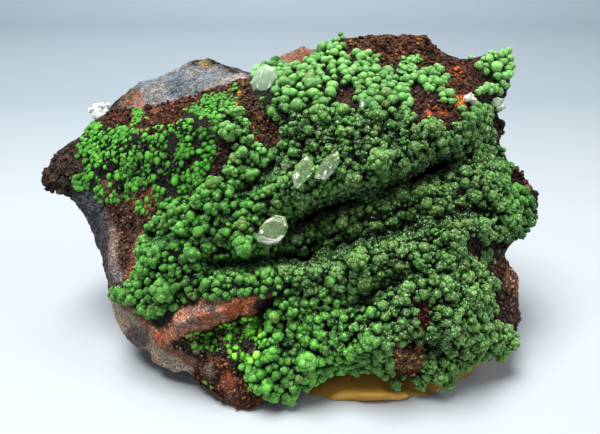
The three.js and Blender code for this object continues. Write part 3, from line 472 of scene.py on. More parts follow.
# Kinds of calcite: colour, how clear it is and how rough.
CALCITE_KINDS = {
    "clear": ((212, 250, 176), 0.86, 0.02),
    "edge": ((226, 240, 212), 0.55, 0.08),
    "white": ((250, 252, 236), 0.05, 0.3),
    "hazy": ((150, 186, 140), 0.45, 0.25),
    "granular": ((184, 176, 150), 0.1, 0.6),
    "frosted": ((206, 216, 206), 0.15, 0.4),
    "pale": ((206, 250, 190), 0.66, 0.08),
}
KIND_NUMBERS = {kind: number for number, kind in enumerate(CALCITE_KINDS)}
# Crystals that are not clear, and cracks and painted highlights that are not white.
CLOUDY = {
    "calcite_crystal_4": "pale",
    "calcite_crystal_6": "hazy",
    "calcite_crystal_7": "granular",
    "calcite_crystal_9": "frosted",
}
CRACK_AND_GLINT_KINDS = {"calcite_crystal_4": "frosted"}

PUTTY_VOXEL = 0.85
PUTTY_DARK = (172, 124, 48)
PUTTY_LIGHT = (206, 158, 70)
FLOOR_NEAR = (164, 170, 174)
FLOOR_MIDDLE = (142, 154, 161)
FLOOR_FAR = (165, 179, 189)
# Round lamps: place, what each one points at (both in metres) and power.
LAMPS = {
    "overhead": ((-0.1, -0.05, 0.5), (0.0, 0.0, 0.015), 5.6),
    "right": ((0.4, -0.1, 0.3), (0.0, 0.0, 0.015), 1.0),
    "front": ((-0.15, -0.4, 0.3), (0.0, 0.0, 0.02), 0.35),
    "backdrop": ((0.0, 0.15, 0.5), (0.0, 0.5, 0.1), 0.8),
}
LAMP_WIDTH = 0.3

# The steps from a cell of a grid to itself and its neighbours.
NEAR_CELLS = list(itertools.product((-1, 0, 1), repeat=3))


def linear(colour):
    """A colour of 0 to 255 as the eye sees it, in linear light."""
    share = np.asarray(colour, dtype=float) / 255.0
    return np.where(share <= 0.04045, share / 12.92, ((share + 0.055) / 1.055) ** 2.4)


def paint(colour):
    """A colour of 0 to 255 as a node takes it."""
    return (*linear(colour), 1.0)


def smoothstep(value, low, high):
    """Rises smoothly from 0 at low to 1 at high."""
    share = np.clip((value - low) / (high - low), 0.0, 1.0)
    return share * share * (3.0 - 2.0 * share)


def fading(value, low, high):
    """Falls smoothly from 1 at low to 0 at high."""
    return 1 - smoothstep(value, low, high)


def blend(first, second, share):
    """The first value with this share of the second."""
    return first * (1 - share) + second * share


def unit(vectors):
    """Vectors brought to length 1."""
    return vectors / np.linalg.norm(vectors, axis=-1, keepdims=True)


def hashed(cells, seed):
    """A repeatable value from 0 to 1 for each whole-number cell."""
    mixed = cells @ np.array([127.1, 311.7, 74.7]) + 53.9 * seed
    wave = np.sin(mixed) * 43758.5453
    return wave - np.floor(wave)


def smooth_noise(points, scale, seed=0):
    """Noise from 0 to 1 whose lumps are about one scale wide."""
    scaled = points / scale
    cell = np.floor(scaled)
    part = scaled - cell
    part = part * part * (3.0 - 2.0 * part)
    total = np.zeros(len(points))
    for step in itertools.product((0, 1), repeat=3):
        weights = np.where(step, part, 1 - part)
        total += weights[:, 0] * weights[:, 1] * weights[:, 2] * hashed(cell + step, seed)
    return total


def flat_points(x, y):
    return np.stack([x, y, np.zeros_like(x)], axis=1)


def view_noise(x, y, scale, seed):
    """Smooth noise over the view, with lumps of this many pixels."""
    return smooth_noise(flat_points(x, y), scale, seed)


def grain_noise(points, scale, seed=0):
    """Round grains: distance to the nearest of scattered points, and that grain's own value."""
    scaled = points / scale
    cell = np.floor(scaled)
    nearest = np.full(len(points), 9.0)
    owner = np.zeros(len(points))
    for step in NEAR_CELLS:
        corner = cell + step
        offset = np.stack([hashed(corner, seed + n) for n in (1, 2, 3)], axis=1)
        distance = np.linalg.norm(corner + offset - scaled, axis=1)
        closer = distance < nearest
        nearest[closer] = distance[closer]
        owner[closer] = hashed(corner[closer], seed + 4)
    return nearest, owner


def inside(outline, x, y):
    """Which places in the view lie in an outline."""
    result = np.zeros(np.shape(x), dtype=bool)
    for (ax, ay), (bx, by) in zip(outline, outline[1:] + outline[:1]):
        crosses = (ay > y) != (by > y)
        with np.errstate(divide="ignore", invalid="ignore"):
            side = x < ax + (y - ay) / (by - ay + 1e-12) * (bx - ax)
        result ^= crosses & side
    return result


def inside_any(outlines, x, y):
    result = np.zeros(np.shape(x), dtype=bool)
    for outline in outlines:
        result |= inside(outline, x, y)
    return result


def placed(x, y, out):
    """The point seen at (x, y), this far out from the middle of the face."""
    x, y, out = np.broadcast_arrays(*[np.asarray(value, dtype=float) for value in (x, y, out)])
    spread = (VIEW_DISTANCE - out) / FOCAL_PIXELS
    across = (x - VIEW_MIDDLE[0]) * spread
    upward = (VIEW_MIDDLE[1] - y) * spread
    return (
        FACE_MIDDLE
        + across[..., None] * ACROSS
        + upward[..., None] * UPWARD
        + out[..., None] * OUTWARD
    )


def seen(points):
    """Where points are seen, and how far out they are."""
    local = points - FACE_MIDDLE
    out = local @ OUTWARD
    scale = FOCAL_PIXELS / (VIEW_DISTANCE - out)
    return VIEW_MIDDLE[0] + local @ ACROSS * scale, VIEW_MIDDLE[1] - local @ UPWARD * scale, out


def mesh_arrays(mesh):
    """A mesh's corners in millimetres and its triangles."""
    mesh.calc_loop_triangles()
    corners = np.empty(3 * len(mesh.vertices))
    mesh.vertices.foreach_get("co", corners)
    triangles = np.empty(3 * len(mesh.loop_triangles), dtype=np.int32)
    mesh.loop_triangles.foreach_get("vertices", triangles)
    return corners.reshape(-1, 3) / MM, triangles.reshape(-1, 3)


def on_mesh(mesh, points, above):
    """Points brought to this far above the nearest place of a mesh, the way up there, and how far
    each one was from it."""
    corners, triangles = mesh_arrays(mesh)
    tree = BVHTree.FromPolygons(corners.tolist(), triangles.tolist())
    found = [tree.find_nearest(point) for point in points.tolist()]
    nearest = np.array([place[:] for place, _, _, _ in found])
    normals = np.array([normal[:] for _, normal, _, _ in found])
    return nearest + normals * above[:, None], normals, np.array([gap for _, _, _, gap in found])


class Face:
    """How far out the rock's face is at each place in the view, with the clefts cut in."""

    step = 2
    left, right, top, bottom = 24, 560, 18, 424

    def __init__(self, corners, triangles):
        tree = BVHTree.FromPolygons(corners.tolist(), triangles.tolist())
        self.columns = np.arange(self.left, self.right, self.step)
        self.rows = np.arange(self.top, self.bottom, self.step)
        self.x, self.y = np.meshgrid(self.columns, self.rows)
        out = np.full(self.x.shape, np.nan)
        for j, y in enumerate(self.rows):
            for i, direction in enumerate(placed(self.columns, y, 0.0) - EYE):
                place = tree.ray_cast(EYE, direction)[0]
                if place is not None:
                    out[j, i] = (np.array(place) - FACE_MIDDLE) @ OUTWARD
        on_rock = ~np.isnan(out)
        known = blurred(on_rock.astype(float), 2.2)
        soft = blurred(np.where(on_rock, out, 0.0), 2.2) / np.maximum(known, 1e-9)
        self.carve = np.zeros(self.x.shape)
        for path, half_width, depth in CLEFTS:
            near = fading(path_distance(path, self.x, self.y), 0.45 * half_width, half_width)
            self.carve = np.maximum(self.carve, depth * near)
        self.carve = blurred(self.carve, 0.8)
        self.on_rock = blurred(on_rock.astype(float), 0.8)
        flat = flat_points(self.x.ravel(), 1.15 * self.y.ravel())
        crease = grain_noise(flat, DOME_WIDTH, 91)[0].reshape(self.x.shape)
        domes = np.sqrt(np.maximum(1 - crease**2, 0.0)) - 0.75
        covering = self.soft_mask([DENSE_CRUST], 2.5) * smoothstep(known, 0.8, 1.0)
        self.domes = DOME_HEIGHT * blurred(domes, 0.6) * covering
        self.out = np.where(known < 1e-6, -12.0, soft) - self.carve + self.domes
        self.points = placed(self.x, self.y, self.out)
        downward, rightward = np.gradient(self.points, axis=(0, 1))
        self.normals = unit(np.cross(downward, rightward))
        self.hollow = np.maximum(blurred(self.out, 5.0) - self.out, 0.0)
        self.trough = np.maximum(blurred(self.out, 11.0) - self.out, 0.0)

    def soft_mask(self, outlines, blur):
        return blurred(inside_any(outlines, self.x, self.y).astype(float), blur)

    def sample(self, table, x, y):
        column = np.clip((np.asarray(x) - self.left) / self.step, 0, len(self.columns) - 1.001)
        row = np.clip((np.asarray(y) - self.top) / self.step, 0, len(self.rows) - 1.001)
        i, j = column.astype(int), row.astype(int)
        a, b = column - i, row - j
        if table.ndim == 3:
            a, b = a[..., None], b[..., None]
        upper = table[j, i] * (1 - a) + table[j, i + 1] * a
        lower = table[j + 1, i] * (1 - a) + table[j + 1, i + 1] * a
        return upper * (1 - b) + lower * b

    def out_at(self, x, y):
        return self.sample(self.out, x, y)

    def rise_at(self, x, y):
        """How far the rock rises under the crust."""
        return ROCK_UNDER_CRUST * self.sample(self.under_crust, x, y)

    def normal_at(self, x, y):
        return unit(self.sample(self.normals, x, y))


def blurred(table, width):
    """A table softened over this many of its own steps."""
    reach = int(math.ceil(3 * width))
    weights = np.exp(-0.5 * (np.arange(-reach, reach + 1) / width) ** 2)
    weights /= weights.sum()
    for axis in (0, 1):
        table = np.apply_along_axis(np.convolve, axis, table, weights, "same")
    return table


def path_distance(path, x, y):
    """How far places in the view are from a path."""
    nearest = np.full(np.shape(x), 1e9)
    for (ax, ay), (bx, by) in zip(path, path[1:]):
        length = (bx - ax) ** 2 + (by - ay) ** 2
        along = np.clip(((x - ax) * (bx - ax) + (y - ay) * (by - ay)) / length, 0, 1)
        nearest = np.minimum(nearest, np.hypot(x - ax - along * (bx - ax), y - ay - along * (by - ay)))
    return nearest


def add_object(name, data):
    """A new object in the scene."""
    item = bpy.data.objects.new(name, data)
    bpy.context.scene.collection.objects.link(item)
    return item


def make_object(name, corners, triangles, colours, material, smooth=True):
    """A mesh piece from millimetre corners, with named colours at each corner."""
    mesh = bpy.data.meshes.new(name)
    count = len(triangles)
    mesh.vertices.add(len(corners))
    mesh.vertices.foreach_set("co", (np.asarray(corners) * MM).ravel())
    mesh.loops.add(3 * count)
    mesh.loops.foreach_set("vertex_index", np.asarray(triangles, dtype=np.int32).ravel())
    mesh.polygons.add(count)
    mesh.polygons.foreach_set("loop_start", np.arange(0, 3 * count, 3, dtype=np.int32))
    mesh.polygons.foreach_set("loop_total", np.full(count, 3, dtype=np.int32))
    mesh.polygons.foreach_set("use_smooth", np.full(count, smooth))
    mesh.update(calc_edges=True)
    mesh.validate()
    for label, values in colours.items():
        layer = mesh.color_attributes.new(label, "FLOAT_COLOR", "POINT")
        rgba = np.ones((len(corners), 4))
        rgba[:, :3] = values
        layer.data.foreach_set("color", rgba.ravel())
    mesh.materials.append(material)
    return add_object(name, mesh)


def remeshed(node, voxel):
    """A node's shape as an even fine mesh, in millimetre corners and triangles."""
    copy = add_object("remesh_work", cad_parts[node].data.copy())
    modifier = copy.modifiers.new("even", "REMESH")
    modifier.mode = "VOXEL"
    modifier.voxel_size = voxel * MM
    triangulate = copy.modifiers.new("triangles", "TRIANGULATE")
    triangulate.quad_method = "SHORTEST_DIAGONAL"
    arrays = mesh_arrays(copy.evaluated_get(bpy.context.evaluated_depsgraph_get()).to_mesh())
    bpy.data.objects.remove(copy)
    return arrays


def trimmed(count, triangles):
    """Which of this many corners the triangles use, and the triangles numbered by those alone."""
    used = np.unique(triangles)
    renumbered = np.zeros(count, dtype=int)
    renumbered[used] = np.arange(len(used))
    return used, renumbered[triangles]


def corner_normals(corners, triangles):
    """The way out at each corner of a mesh."""
    a, b, c = (corners[triangles[:, n]] for n in range(3))
    face_normals = np.cross(b - a, c - a)
    normals = np.zeros_like(corners)
    for n in range(3):
        np.add.at(normals, triangles[:, n], face_normals)
    return normals / np.maximum(np.linalg.norm(normals, axis=1, keepdims=True), 1e-12)


def relaxed(corners, triangles, rounds):
    """Each corner drawn towards its neighbours and back out, a few times over, so that the
    facets go and the size stays."""
    edges = np.concatenate([triangles[:, [0, 1]], triangles[:, [1, 2]], triangles[:, [2, 0]]])
    edges = np.unique(np.sort(edges, axis=1), axis=0)
    degree = np.bincount(edges.ravel(), minlength=len(corners))[:, None]
    for strength in (0.5, -0.53) * rounds:
        sums = np.zeros_like(corners)
        for axis in range(3):
            sums[:, axis] += np.bincount(edges[:, 0], corners[edges[:, 1], axis], len(corners))
            sums[:, axis] += np.bincount(edges[:, 1], corners[edges[:, 0], axis], len(corners))
        corners = corners + strength * (sums / degree - corners)
    return corners


def in_crust(x, y):
    """Which places in the view lie in the crust, bare spots in it included."""
    return inside(DENSE_CRUST, x, y) | inside(TOP_RIGHT_CRUST, x, y)


def zone_shares(face, shape, x, y):
    """How much of each place belongs to a zone, fading over its edge."""
    if isinstance(shape, list):
        return smoothstep(face.sample(face.soft_mask([shape], 1.3), x, y), 0.3, 0.7)
    spot_x, spot_y, radius = shape
    return 0.8 - 0.8 * smoothstep(np.hypot(x - spot_x, y - spot_y), 0.7 * radius, 1.2 * radius)


def zone_colours(face, x, y, front, base_dark, base_light):
    """The darkest and lightest colour of the rock at each place, and how coarse it is."""
    dark = np.where(front[:, None], linear(FIELD_DARK), base_dark)
    light = np.where(front[:, None], linear(FIELD_LIGHT), base_light)
    coarse = np.full(len(x), 0.16)
    for shape, zone_dark, zone_light, height in ROCK_ZONES:
        share = zone_shares(face, shape, x, y) * front
        coarse += share * (height - coarse)
        share = share[:, None]
        dark += share * (linear(zone_dark) - dark)
        light += share * (linear(zone_light) - light)
    return dark, light, coarse


def back_patterns(corners):
    """Rust, plates, pits and low ledges on the broken sides and back of the rock."""
    rusty = 0.6 * smooth_noise(corners, 5.0, 23) + 0.28 * smooth_noise(corners, 1.7, 24)
    rusty += 0.12 * smooth_noise(corners, 0.7, 25)
    rust = smoothstep(rusty, 0.46, 0.66)[:, None]
    plates = smoothstep(smooth_noise(corners * [1.0, 1.0, 1.8], 2.6, 21), 0.35, 0.65)[:, None]
    pits = smoothstep(smooth_noise(corners, 1.3, 26), 0.68, 0.82)
    slope = 0.7 * smooth_noise(corners * [0.6, 0.6, 1.4], 7.0, 27) + 0.3 * smooth_noise(corners, 2.8, 28)
    ledges = 9 * slope
    steps = np.floor(ledges) + smoothstep(ledges - np.floor(ledges), 0.6, 1.0) - ledges
    return rust, plates, pits, steps


def build_rock(face, material):
    """The gossan: the solid's own form, made fine and rough, and coloured zone by zone, with painted shade
    between its grains, in the clefts, pits and ledges and under the crust.
    """
    corners, triangles = remeshed("gossan_matrix", ROCK_VOXEL)
    corners = relaxed(corners, triangles, 5)
    normals = corner_normals(corners, triangles)
    x, y, out = seen(corners)
    cut = face.sample(face.carve, x, y)
    front = out > face.out_at(x, y) - face.sample(face.domes, x, y) + cut - 1.6
    cut = np.where(front, cut, 0.0)
    under_crust = np.where(front, face.sample(face.under_crust, x, y), 0.0)
    wobble_x = x + 7 * (smooth_noise(corners, 1.1, 11) - 0.5)
    wobble_y = y + 7 * (smooth_noise(corners, 1.1, 12) - 0.5)
    rust, plates, pits, steps = back_patterns(corners)
    back_dark = linear(BACK_DARK) * (1 - 0.5 * plates)
    back_light = blend(linear(BACK_LIGHT) * (1 - 0.35 * plates), linear(BACK_RUST), rust)
    dark, light, coarse = zone_colours(face, wobble_x, wobble_y, front, back_dark, back_light)
    warm = np.where(front, smooth_noise(corners, 1.5, 29) - 0.5, 0.0)[:, None]
    warmth = np.maximum(1 + warm * WARM_PATCH, 0.2)
    covered = np.where(front, face.sample(face.covered, x, y), 0.0)
    # Under the crust the rock is blended to a near-black green, partly painted shade between the globules.
    green = smoothstep(covered, 0.5, 0.9)[:, None]
    dark = blend(dark * warmth, linear(UNDER_SHADED_DARK), green)
    light = blend(light * warmth, linear(UNDER_SHADED_LIGHT), green)

    grain, owner = grain_noise(corners, GRAIN_SIZE, 31)
    bump = 1.0 - grain
    fine = smooth_noise(corners, 0.5, 41) - 0.5
    # Painted shade: darker low between the grain bumps, a little darker on the back, and much darker in the
    # clefts.
    shade = 0.6 + 0.4 * smoothstep(bump, 0.2, 0.7) * np.where(front, 1.0, 0.9)
    shade = shade * (0.75 + 0.5 * owner) * (1 - 0.75 * smoothstep(cut, 0.8, 3.0))
    blocky = smooth_noise(corners, 2.4, 51) - 0.5
    lift = coarse * (1.5 * (bump - 0.5) + 1.0 * fine) + 0.5 * blocky
    crusted = 0.3 * (bump - 0.5) + 0.3 * blocky + ROCK_UNDER_CRUST
    lift = blend(lift, crusted, under_crust)
    broken = 0.16 * (bump - 0.5) + 0.3 * fine + 0.5 * blocky + 0.55 * steps - 0.35 * pits
    lift = np.where(front, lift, broken)
    # Painted shade in the pits and on the ledges of the broken sides.
    shade = shade * np.where(front, 1.0, (1 - 0.6 * pits) * (1 + 0.5 * steps))
    corners = corners + normals * lift[:, None] - OUTWARD * cut[:, None]
    x, y, out = seen(corners)
    limit = face.out_at(x, y) + face.rise_at(x, y) + 0.1
    corners = corners - OUTWARD * (np.maximum(out - limit, 0.0) * covered)[:, None]
    for notch_x, notch_y, radius in NOTCHES:
        x, y, out = seen(corners)
        gap = np.hypot(x - notch_x, y - notch_y)
        push = np.where(gap < radius, 0.85 * (radius - gap) / np.maximum(gap, 1e-6), 0.0)
        corners = placed(x + push * (x - notch_x), y + push * (y - notch_y), out)
    corners[:, 2] = np.maximum(corners[:, 2], 0.05)
    # Painted shade: the rock is darker on the coarse zones, between the loose grains that lie on it, and
    # under the crust.
    grain_and_crust_shade = np.where(front & (coarse >= GRAINY), 0.4, 1.0) * (1 - 0.6 * covered)
    shade = (shade * grain_and_crust_shade)[:, None]
    colours = {"Dark": dark * shade, "Light": light * shade}
    return make_object("gossan_rock", corners, triangles, colours, material)


def grainy(face, x, y):
    """Where the rock is bare and coarse enough to have loose grains."""
    plain = np.zeros((len(x), 3))
    _, _, coarse = zone_colours(face, x, y, np.ones(len(x), dtype=bool), plain, plain)
    bare = face.sample(face.covered, x, y) < 0.5
    return (coarse >= GRAINY) & bare & (face.sample(face.on_rock, x, y) > 0.6)


def build_grains(face, rock, material):
    """Rusty grains on the rough zones of the rock, as a mesh of small angular lumps, with painted shade on
    the side of each that faces the rock.
    """
    x, y, normal = strewn(face, grainy, 90000)
    large = rng.uniform(0, 1, len(x)) < 0.04
    size = np.where(large, rng.uniform(0.36, 0.62, len(x)), rng.uniform(0.13, 0.32, len(x)))
    points = placed(x, y, face.out_at(x, y)) + normal * (0.15 * size + 0.06)[:, None]
    kept = thinned(points, 1.1 * size)
    x, y, size, points = x[kept], y[kept], size[kept], points[kept]
    edge = np.array(EDGE_LUMPS)
    x, y, size = (np.append(part, edge[:, n]) for n, part in enumerate((x, y, size)))
    points = np.concatenate([points, placed(*edge[:, :2].T, face.out_at(*edge[:, :2].T))])
    points, normal, gap = on_mesh(rock.data, points, 0.3 * size)
    kept = gap < 1.2
    x, y, size, normal, points = x[kept], y[kept], size[kept], normal[kept], points[kept]
    tip = np.array(TIP_LUMPS, dtype=float)
    x, y = np.append(x, tip[:, 0]), np.append(y, tip[:, 1])
    size, normal = np.append(size, tip[:, 2]), np.concatenate([normal, face.normal_at(*tip[:, :2].T)])
    points = np.concatenate([points, placed(*tip[:, :2].T, tip[:, 3])])
    jitter = rng.normal(0, 2.0, (2, len(x)))
    everywhere = np.ones(len(x), dtype=bool)
    plain = np.ones((len(x), 3))
    dark, light, _ = zone_colours(face, x + jitter[0], y + jitter[1], everywhere, plain, plain)
    mix = rng.uniform(0, 1, (len(x), 1)) ** 1.8
    tone = blend(dark, light, mix) * rng.uniform(0.5, 1.6, (len(x), 1))
    corner_parts, triangle_parts, tone_parts = [], [], []
    offset = 0
    for level, chosen in ((1, size < 0.3), (2, size >= 0.3)):
        shape, shape_triangles = sphere_shape(level)
        count = int(chosen.sum())
        reach = rng.uniform(0.62, 1.12, (count, len(shape)))
        stretch = rng.uniform(0.7, 1.2, (count, 1, 3))
        turned = np.einsum("nij,kj->nki", random_turns(count), shape)
        corners = points[chosen][:, None] + turned * reach[..., None] * stretch * size[chosen][:, None, None]
        facing = np.einsum("nki,ni->nk", turned, normal[chosen])
        # Painted shade: each grain darker on the side towards the rock.
        shade = 0.12 + 0.88 * smoothstep(facing, -0.3, 0.8)
        triangles = offset + shape_triangles[None] + len(shape) * np.arange(count)[:, None, None]
        outward = facing[:, shape_triangles].max(axis=2) > -0.35
        triangle_parts.append(triangles[outward])
        tone_parts.append((tone[chosen][:, None] * shade[..., None]).reshape(-1, 3))
        corner_parts.append(corners.reshape(-1, 3))
        offset += count * len(shape)
    corners, tones = np.concatenate(corner_parts), np.concatenate(tone_parts)
    used, triangles = trimmed(len(corners), np.concatenate(triangle_parts))
    colours = {"Dark": 0.8 * tones[used], "Light": 1.2 * tones[used]}
    return make_object("rust_grains", corners[used], triangles, colours, material, False)


def sphere_shape(level):
    """A round mesh: corners on the unit sphere and triangles. Level 3 is between 2 and 4."""
    work = bmesh.new()
    if level == 3:
        bmesh.ops.create_icosphere(work, subdivisions=1, radius=1.0)
        bmesh.ops.subdivide_edges(work, edges=work.edges[:], cuts=2, use_grid_fill=True)
        bmesh.ops.triangulate(work, faces=work.faces[:])
    else:
        bmesh.ops.create_icosphere(work, subdivisions={1: 1, 2: 2, 4: 3}[level], radius=1.0)
    work.verts.ensure_lookup_table()
    corners = np.array([vertex.co[:] for vertex in work.verts])
    triangles = np.array([[vertex.index for vertex in facet.verts] for facet in work.faces])
    work.free()
    return unit(corners), triangles


def knobbly_reach(corners, bumps, bump_radius, core):
    """Distances from the middle for a ball built of smaller bumps."""
    centres = unit(rng.normal(size=(400, 3)))
    kept = [centres[0]]
    for centre in centres[1:]:
        gap = min(np.linalg.norm(centre - other) for other in kept)
        if len(kept) < bumps and gap > 2.6 / math.sqrt(bumps):
            kept.append(centre)
    reach = np.full(len(corners), core)
    for centre in kept:
        middle = centre * (1.0 - bump_radius)
        along = corners @ middle
        inner = along**2 - middle @ middle + bump_radius**2
        reach = np.maximum(reach, np.where(inner > 0, along + np.sqrt(np.maximum(inner, 0)), 0))
    return reach


def make_shapes():
    """Ready balls for each fineness: six nearly smooth ones and six with small bumps."""
    shapes = {}
    for level in (2, 3, 4):
        corners, triangles = sphere_shape(level)
        smooth = [knobbly_reach(corners, 5 + n % 3, 0.72, 0.9) for n in range(6)]
        bumpy = [knobbly_reach(corners, 9 + 3 * (n % 3), 0.46, 0.84) for n in range(6)]
        shapes[level] = {"corners": corners, "triangles": triangles, "reaches": smooth + bumpy}
    return shapes


def random_turns(count):
    """Random rotations, as matrices made from quaternions."""
    w, x, y, z = unit(rng.normal(size=(count, 4))).T
    return np.stack([
        np.stack([1 - 2 * (y * y + z * z), 2 * (x * y - z * w), 2 * (x * z + y * w)], axis=1),
        np.stack([2 * (x * y + z * w), 1 - 2 * (x * x + z * z), 2 * (y * z - x * w)], axis=1),
        np.stack([2 * (x * z - y * w), 2 * (y * z + x * w), 1 - 2 * (x * x + y * y)], axis=1),
    ], axis=1)


def thinned(points, spacing):
    """Keeps points in order as long as they are a spacing from those already kept."""
    kept = []
    grid = {}
    cells = np.floor(points).astype(int)
    for number, point in enumerate(points):
        cx, cy, cz = cells[number]
        near = [
            other
            for dx, dy, dz in NEAR_CELLS
            for other in grid.get((cx + dx, cy + dy, cz + dz), ())
        ]
        if near and np.min(np.sum((points[near] - point) ** 2, axis=1)) < spacing[number] ** 2:
            continue
        kept.append(number)
        grid.setdefault((cx, cy, cz), []).append(number)
    return np.array(kept, dtype=int)


class Globules:
    """All globules so far: middles, radii, the way each one grew and what it is coloured by."""

    def __init__(self):
        self.parts = []

    def add(self, middle, size, grew, place, tint=0.0):
        self.parts.append((middle, size, grew, place, np.broadcast_to(tint, len(size))))

    def joined(self):
        return [np.concatenate(column) for column in zip(*self.parts)]


def strewn(face, accepts, tries):
    """Random places over part of the face, as dense on its steep sides as on its level ones."""
    x = rng.uniform(*STREWN_X, tries)
    y = rng.uniform(*STREWN_Y, tries)
    good = accepts(face, x, y)
    x, y = x[good], y[good]
    normal = face.normal_at(x, y)
    steep = 1.0 / np.clip(normal @ OUTWARD, 0.25, 1.0)
    good = rng.uniform(0, 4, len(x)) < steep
    return x[good], y[good], normal[good]


def at_top(x, y):
    """Whether a globule grows in the upper part of the crust, where single balls stand apart."""
    return (y < TOP_SINGLE) & (x > 250)


def plumpness(x, y):
    """How much larger the balls of the crust are at the left, low down and at the top."""
    left = fading(x, 255, 310) * smoothstep(y, 135, 165)
    low = smoothstep(y, 285, 310) * fading(x, 360, 420)
    top = fading(y, TOP_SINGLE - 8, TOP_SINGLE + 12) * smoothstep(x, 245, 265)
    return 1 + PLUMP * np.maximum.reduce([left, low, top]) * in_crust(x, y)


def scatter(face, globules, accepts, tries, spacing, lift, radii):
    """Strews single globules evenly over part of the face."""
    x, y, normal = strewn(face, accepts, tries)
    size = rng.uniform(*radii, len(x)) * plumpness(x, y)
    above = face.rise_at(x, y) + lift * size
    points = placed(x, y, face.out_at(x, y)) + normal * above[:, None]
    kept = thinned(points, spacing * size / np.mean(radii))
    globules.add(points[kept], size[kept], normal[kept], np.stack([x, y], axis=1)[kept])


def cluster(globules, middle, size, grew, place, tint):
    """A botryoid: a ball with knobs packed all over its outer side, low enough to merge."""
    knob = KNOB_SIZE * size**0.5 * plumpness(*place)
    ways = unit(rng.normal(size=(160, 3)))
    ways = ways[ways @ grew > -0.25]
    sizes = knob * rng.uniform(0.8, 1.25, len(ways))
    points = middle + ways * (size - KNOB_SINK * sizes)[:, None]
    kept = thinned(points, 1.2 * sizes)
    tops = np.tile(place, (len(kept), 1))
    globules.add(points[kept], sizes[kept], ways[kept], tops, tint)
    globules.add(middle[None], np.array([0.92 * size]), grew[None], place[None], tint)


def colony(face, globules, x, y, radius):
    """A low patch of small flat globules on the bare rock, grown into each other."""
    count = 60
    turn = rng.uniform(0, 2 * math.pi, count)
    away = radius * np.sqrt(rng.uniform(0, 1, count))
    x, y = x + away * np.cos(turn), y + away * np.sin(turn)
    normal = face.normal_at(x, y)
    size = rng.uniform(0.26, 0.6, count)
    points = placed(x, y, face.out_at(x, y)) + normal * (0.25 * size)[:, None]
    kept = thinned(points, size)
    globules.add(points[kept], size[kept], normal[kept], np.stack([x, y], axis=1)[kept])


def crowd(middle, size):
    """For each globule, the others that it touches or nearly touches."""
    tree = KDTree(len(middle))
    for number, point in enumerate(middle):
        tree.insert(point, number)
    tree.balance()
    reach = size.max() + CROWD_REACH
    neighbours = []
    for number, point in enumerate(middle):
        neighbours.append(np.array([
            other for _, other, gap in tree.find_range(point, size[number] + reach)
            if other != number and gap < size[number] + size[other] + CROWD_REACH
        ], dtype=int))
    return neighbours


def buried(corners, face):
    """Which corners lie in the rock."""
    x, y, out = seen(corners)
    return (out < face.out_at(x, y) + face.rise_at(x, y) - 0.3) & (face.sample(face.on_rock, x, y) > 0.98)


def grown_tone(place, sugar):
    """The green of each globule: bright and yellowish at the left, greyer where it is sugary."""
    x, y = place.T
    field = ~in_crust(x, y) & ((x < 262) | (y > 300))
    bright = np.where(field, 1.0, 0.4 - 0.4 * smoothstep(x, 150, 330))
    # The lower bank is blended towards the bright green, partly as painted light from below.
    low = smoothstep(y, 285, 310) * fading(x, 330, 420)
    rim = smoothstep(x, 486, 508) * fading(y, 205, 240)
    bright = np.maximum(bright, np.maximum(0.75 * low, 0.6 * rim))[:, None]
    tone = blend(linear(GREEN_DEEP), linear(GREEN_BRIGHT), bright)
    top = fading(y, 84, 140) * smoothstep(x, 215, 260)
    beside = 0.6 * smoothstep(x, 205, 225) * fading(x, 255, 290) * fading(y, 170, 230)
    top = np.maximum(top, beside)
    tone = blend(tone, linear(GREEN_PASTEL), (0.85 * top * ~field)[:, None])
    grey = sugar * (1 - 0.7 * top) * (1 - 0.8 * bright[:, 0])
    tone = blend(tone, linear(GREEN_GREY), grey[:, None])

    broad = view_noise(x, y, 26.0, 81)[:, None]
    # Painted light: the lower part of the crust is brighter, for light thrown up from below.
    lower = (smoothstep(y, 248, 300) * smoothstep(x, 190, 260))[:, None]
    tone = tone * (0.75 + 0.5 * broad) * (1 + LOWER_PAINTED_LIGHT * lower)
    band = smoothstep(x, 220, 270) * fading(x, 390, 450)
    band *= smoothstep(y, 135, 165) * fading(y, 225, 260)
    tone = tone * (1 + MIDDLE_LIFT * band)[:, None]
    left = fading(x, 230, 290) * (1 - 2 * smoothstep(y, 255, 285)) * ~field
    tone = tone * (1 + 0.15 * left)[:, None]
    tone = tone * np.where(inside(LOWER_SPRINKLED, x, y)[:, None], LIME_SHIFT, 1.0)
    tone = tone * (1 - 0.3 * field * fading(y, 105, 125))[:, None]

    spots = flat_points(np.round(x, 3), np.round(y, 3))
    own = np.stack([hashed(spots, seed) for seed in (84, 85, 86)], axis=1)
    tone = tone * (0.78 + 0.44 * own[:, :1]) * (0.94 + 0.12 * own)
    return tone * rng.uniform(0.94, 1.06, (len(x), 1))


def crevice_shade(corners, face):
    """Painted shade: how much darker the crust is low down between its globules and in the clefts."""
    x, y, out = seen(corners)
    base = face.out_at(x, y) + face.rise_at(x, y)
    low_lying = 1 - face.sample(face.covered, x, y)
    height = smoothstep((out - base) * (1 + 1.2 * low_lying), -0.1, 1.2)
    closed = 1.25 * np.maximum(face.sample(face.hollow, x, y) - 0.1, 0.0)
    closed += 0.55 * np.maximum(face.sample(face.trough, x, y) - 0.3, 0.0)
    return (0.1 + 0.9 * height) * (0.12 + 0.88 * np.exp(-closed))


def crowded_shade(corners, outward, middle, size):
    """How much light the neighbouring globules leave at each corner of one globule."""
    gaps = middle[None] - corners[:, None]
    distance = np.linalg.norm(gaps, axis=2)
    facing = np.einsum("cnk,ck->cn", gaps, outward) / np.maximum(distance, 1e-6)
    near = np.minimum(size[None] / np.maximum(distance, 1e-6), 1.0) ** 2
    cover = near * np.maximum(facing + 0.15, 0.0)
    return np.exp(-CROWDING * cover.sum(axis=1))


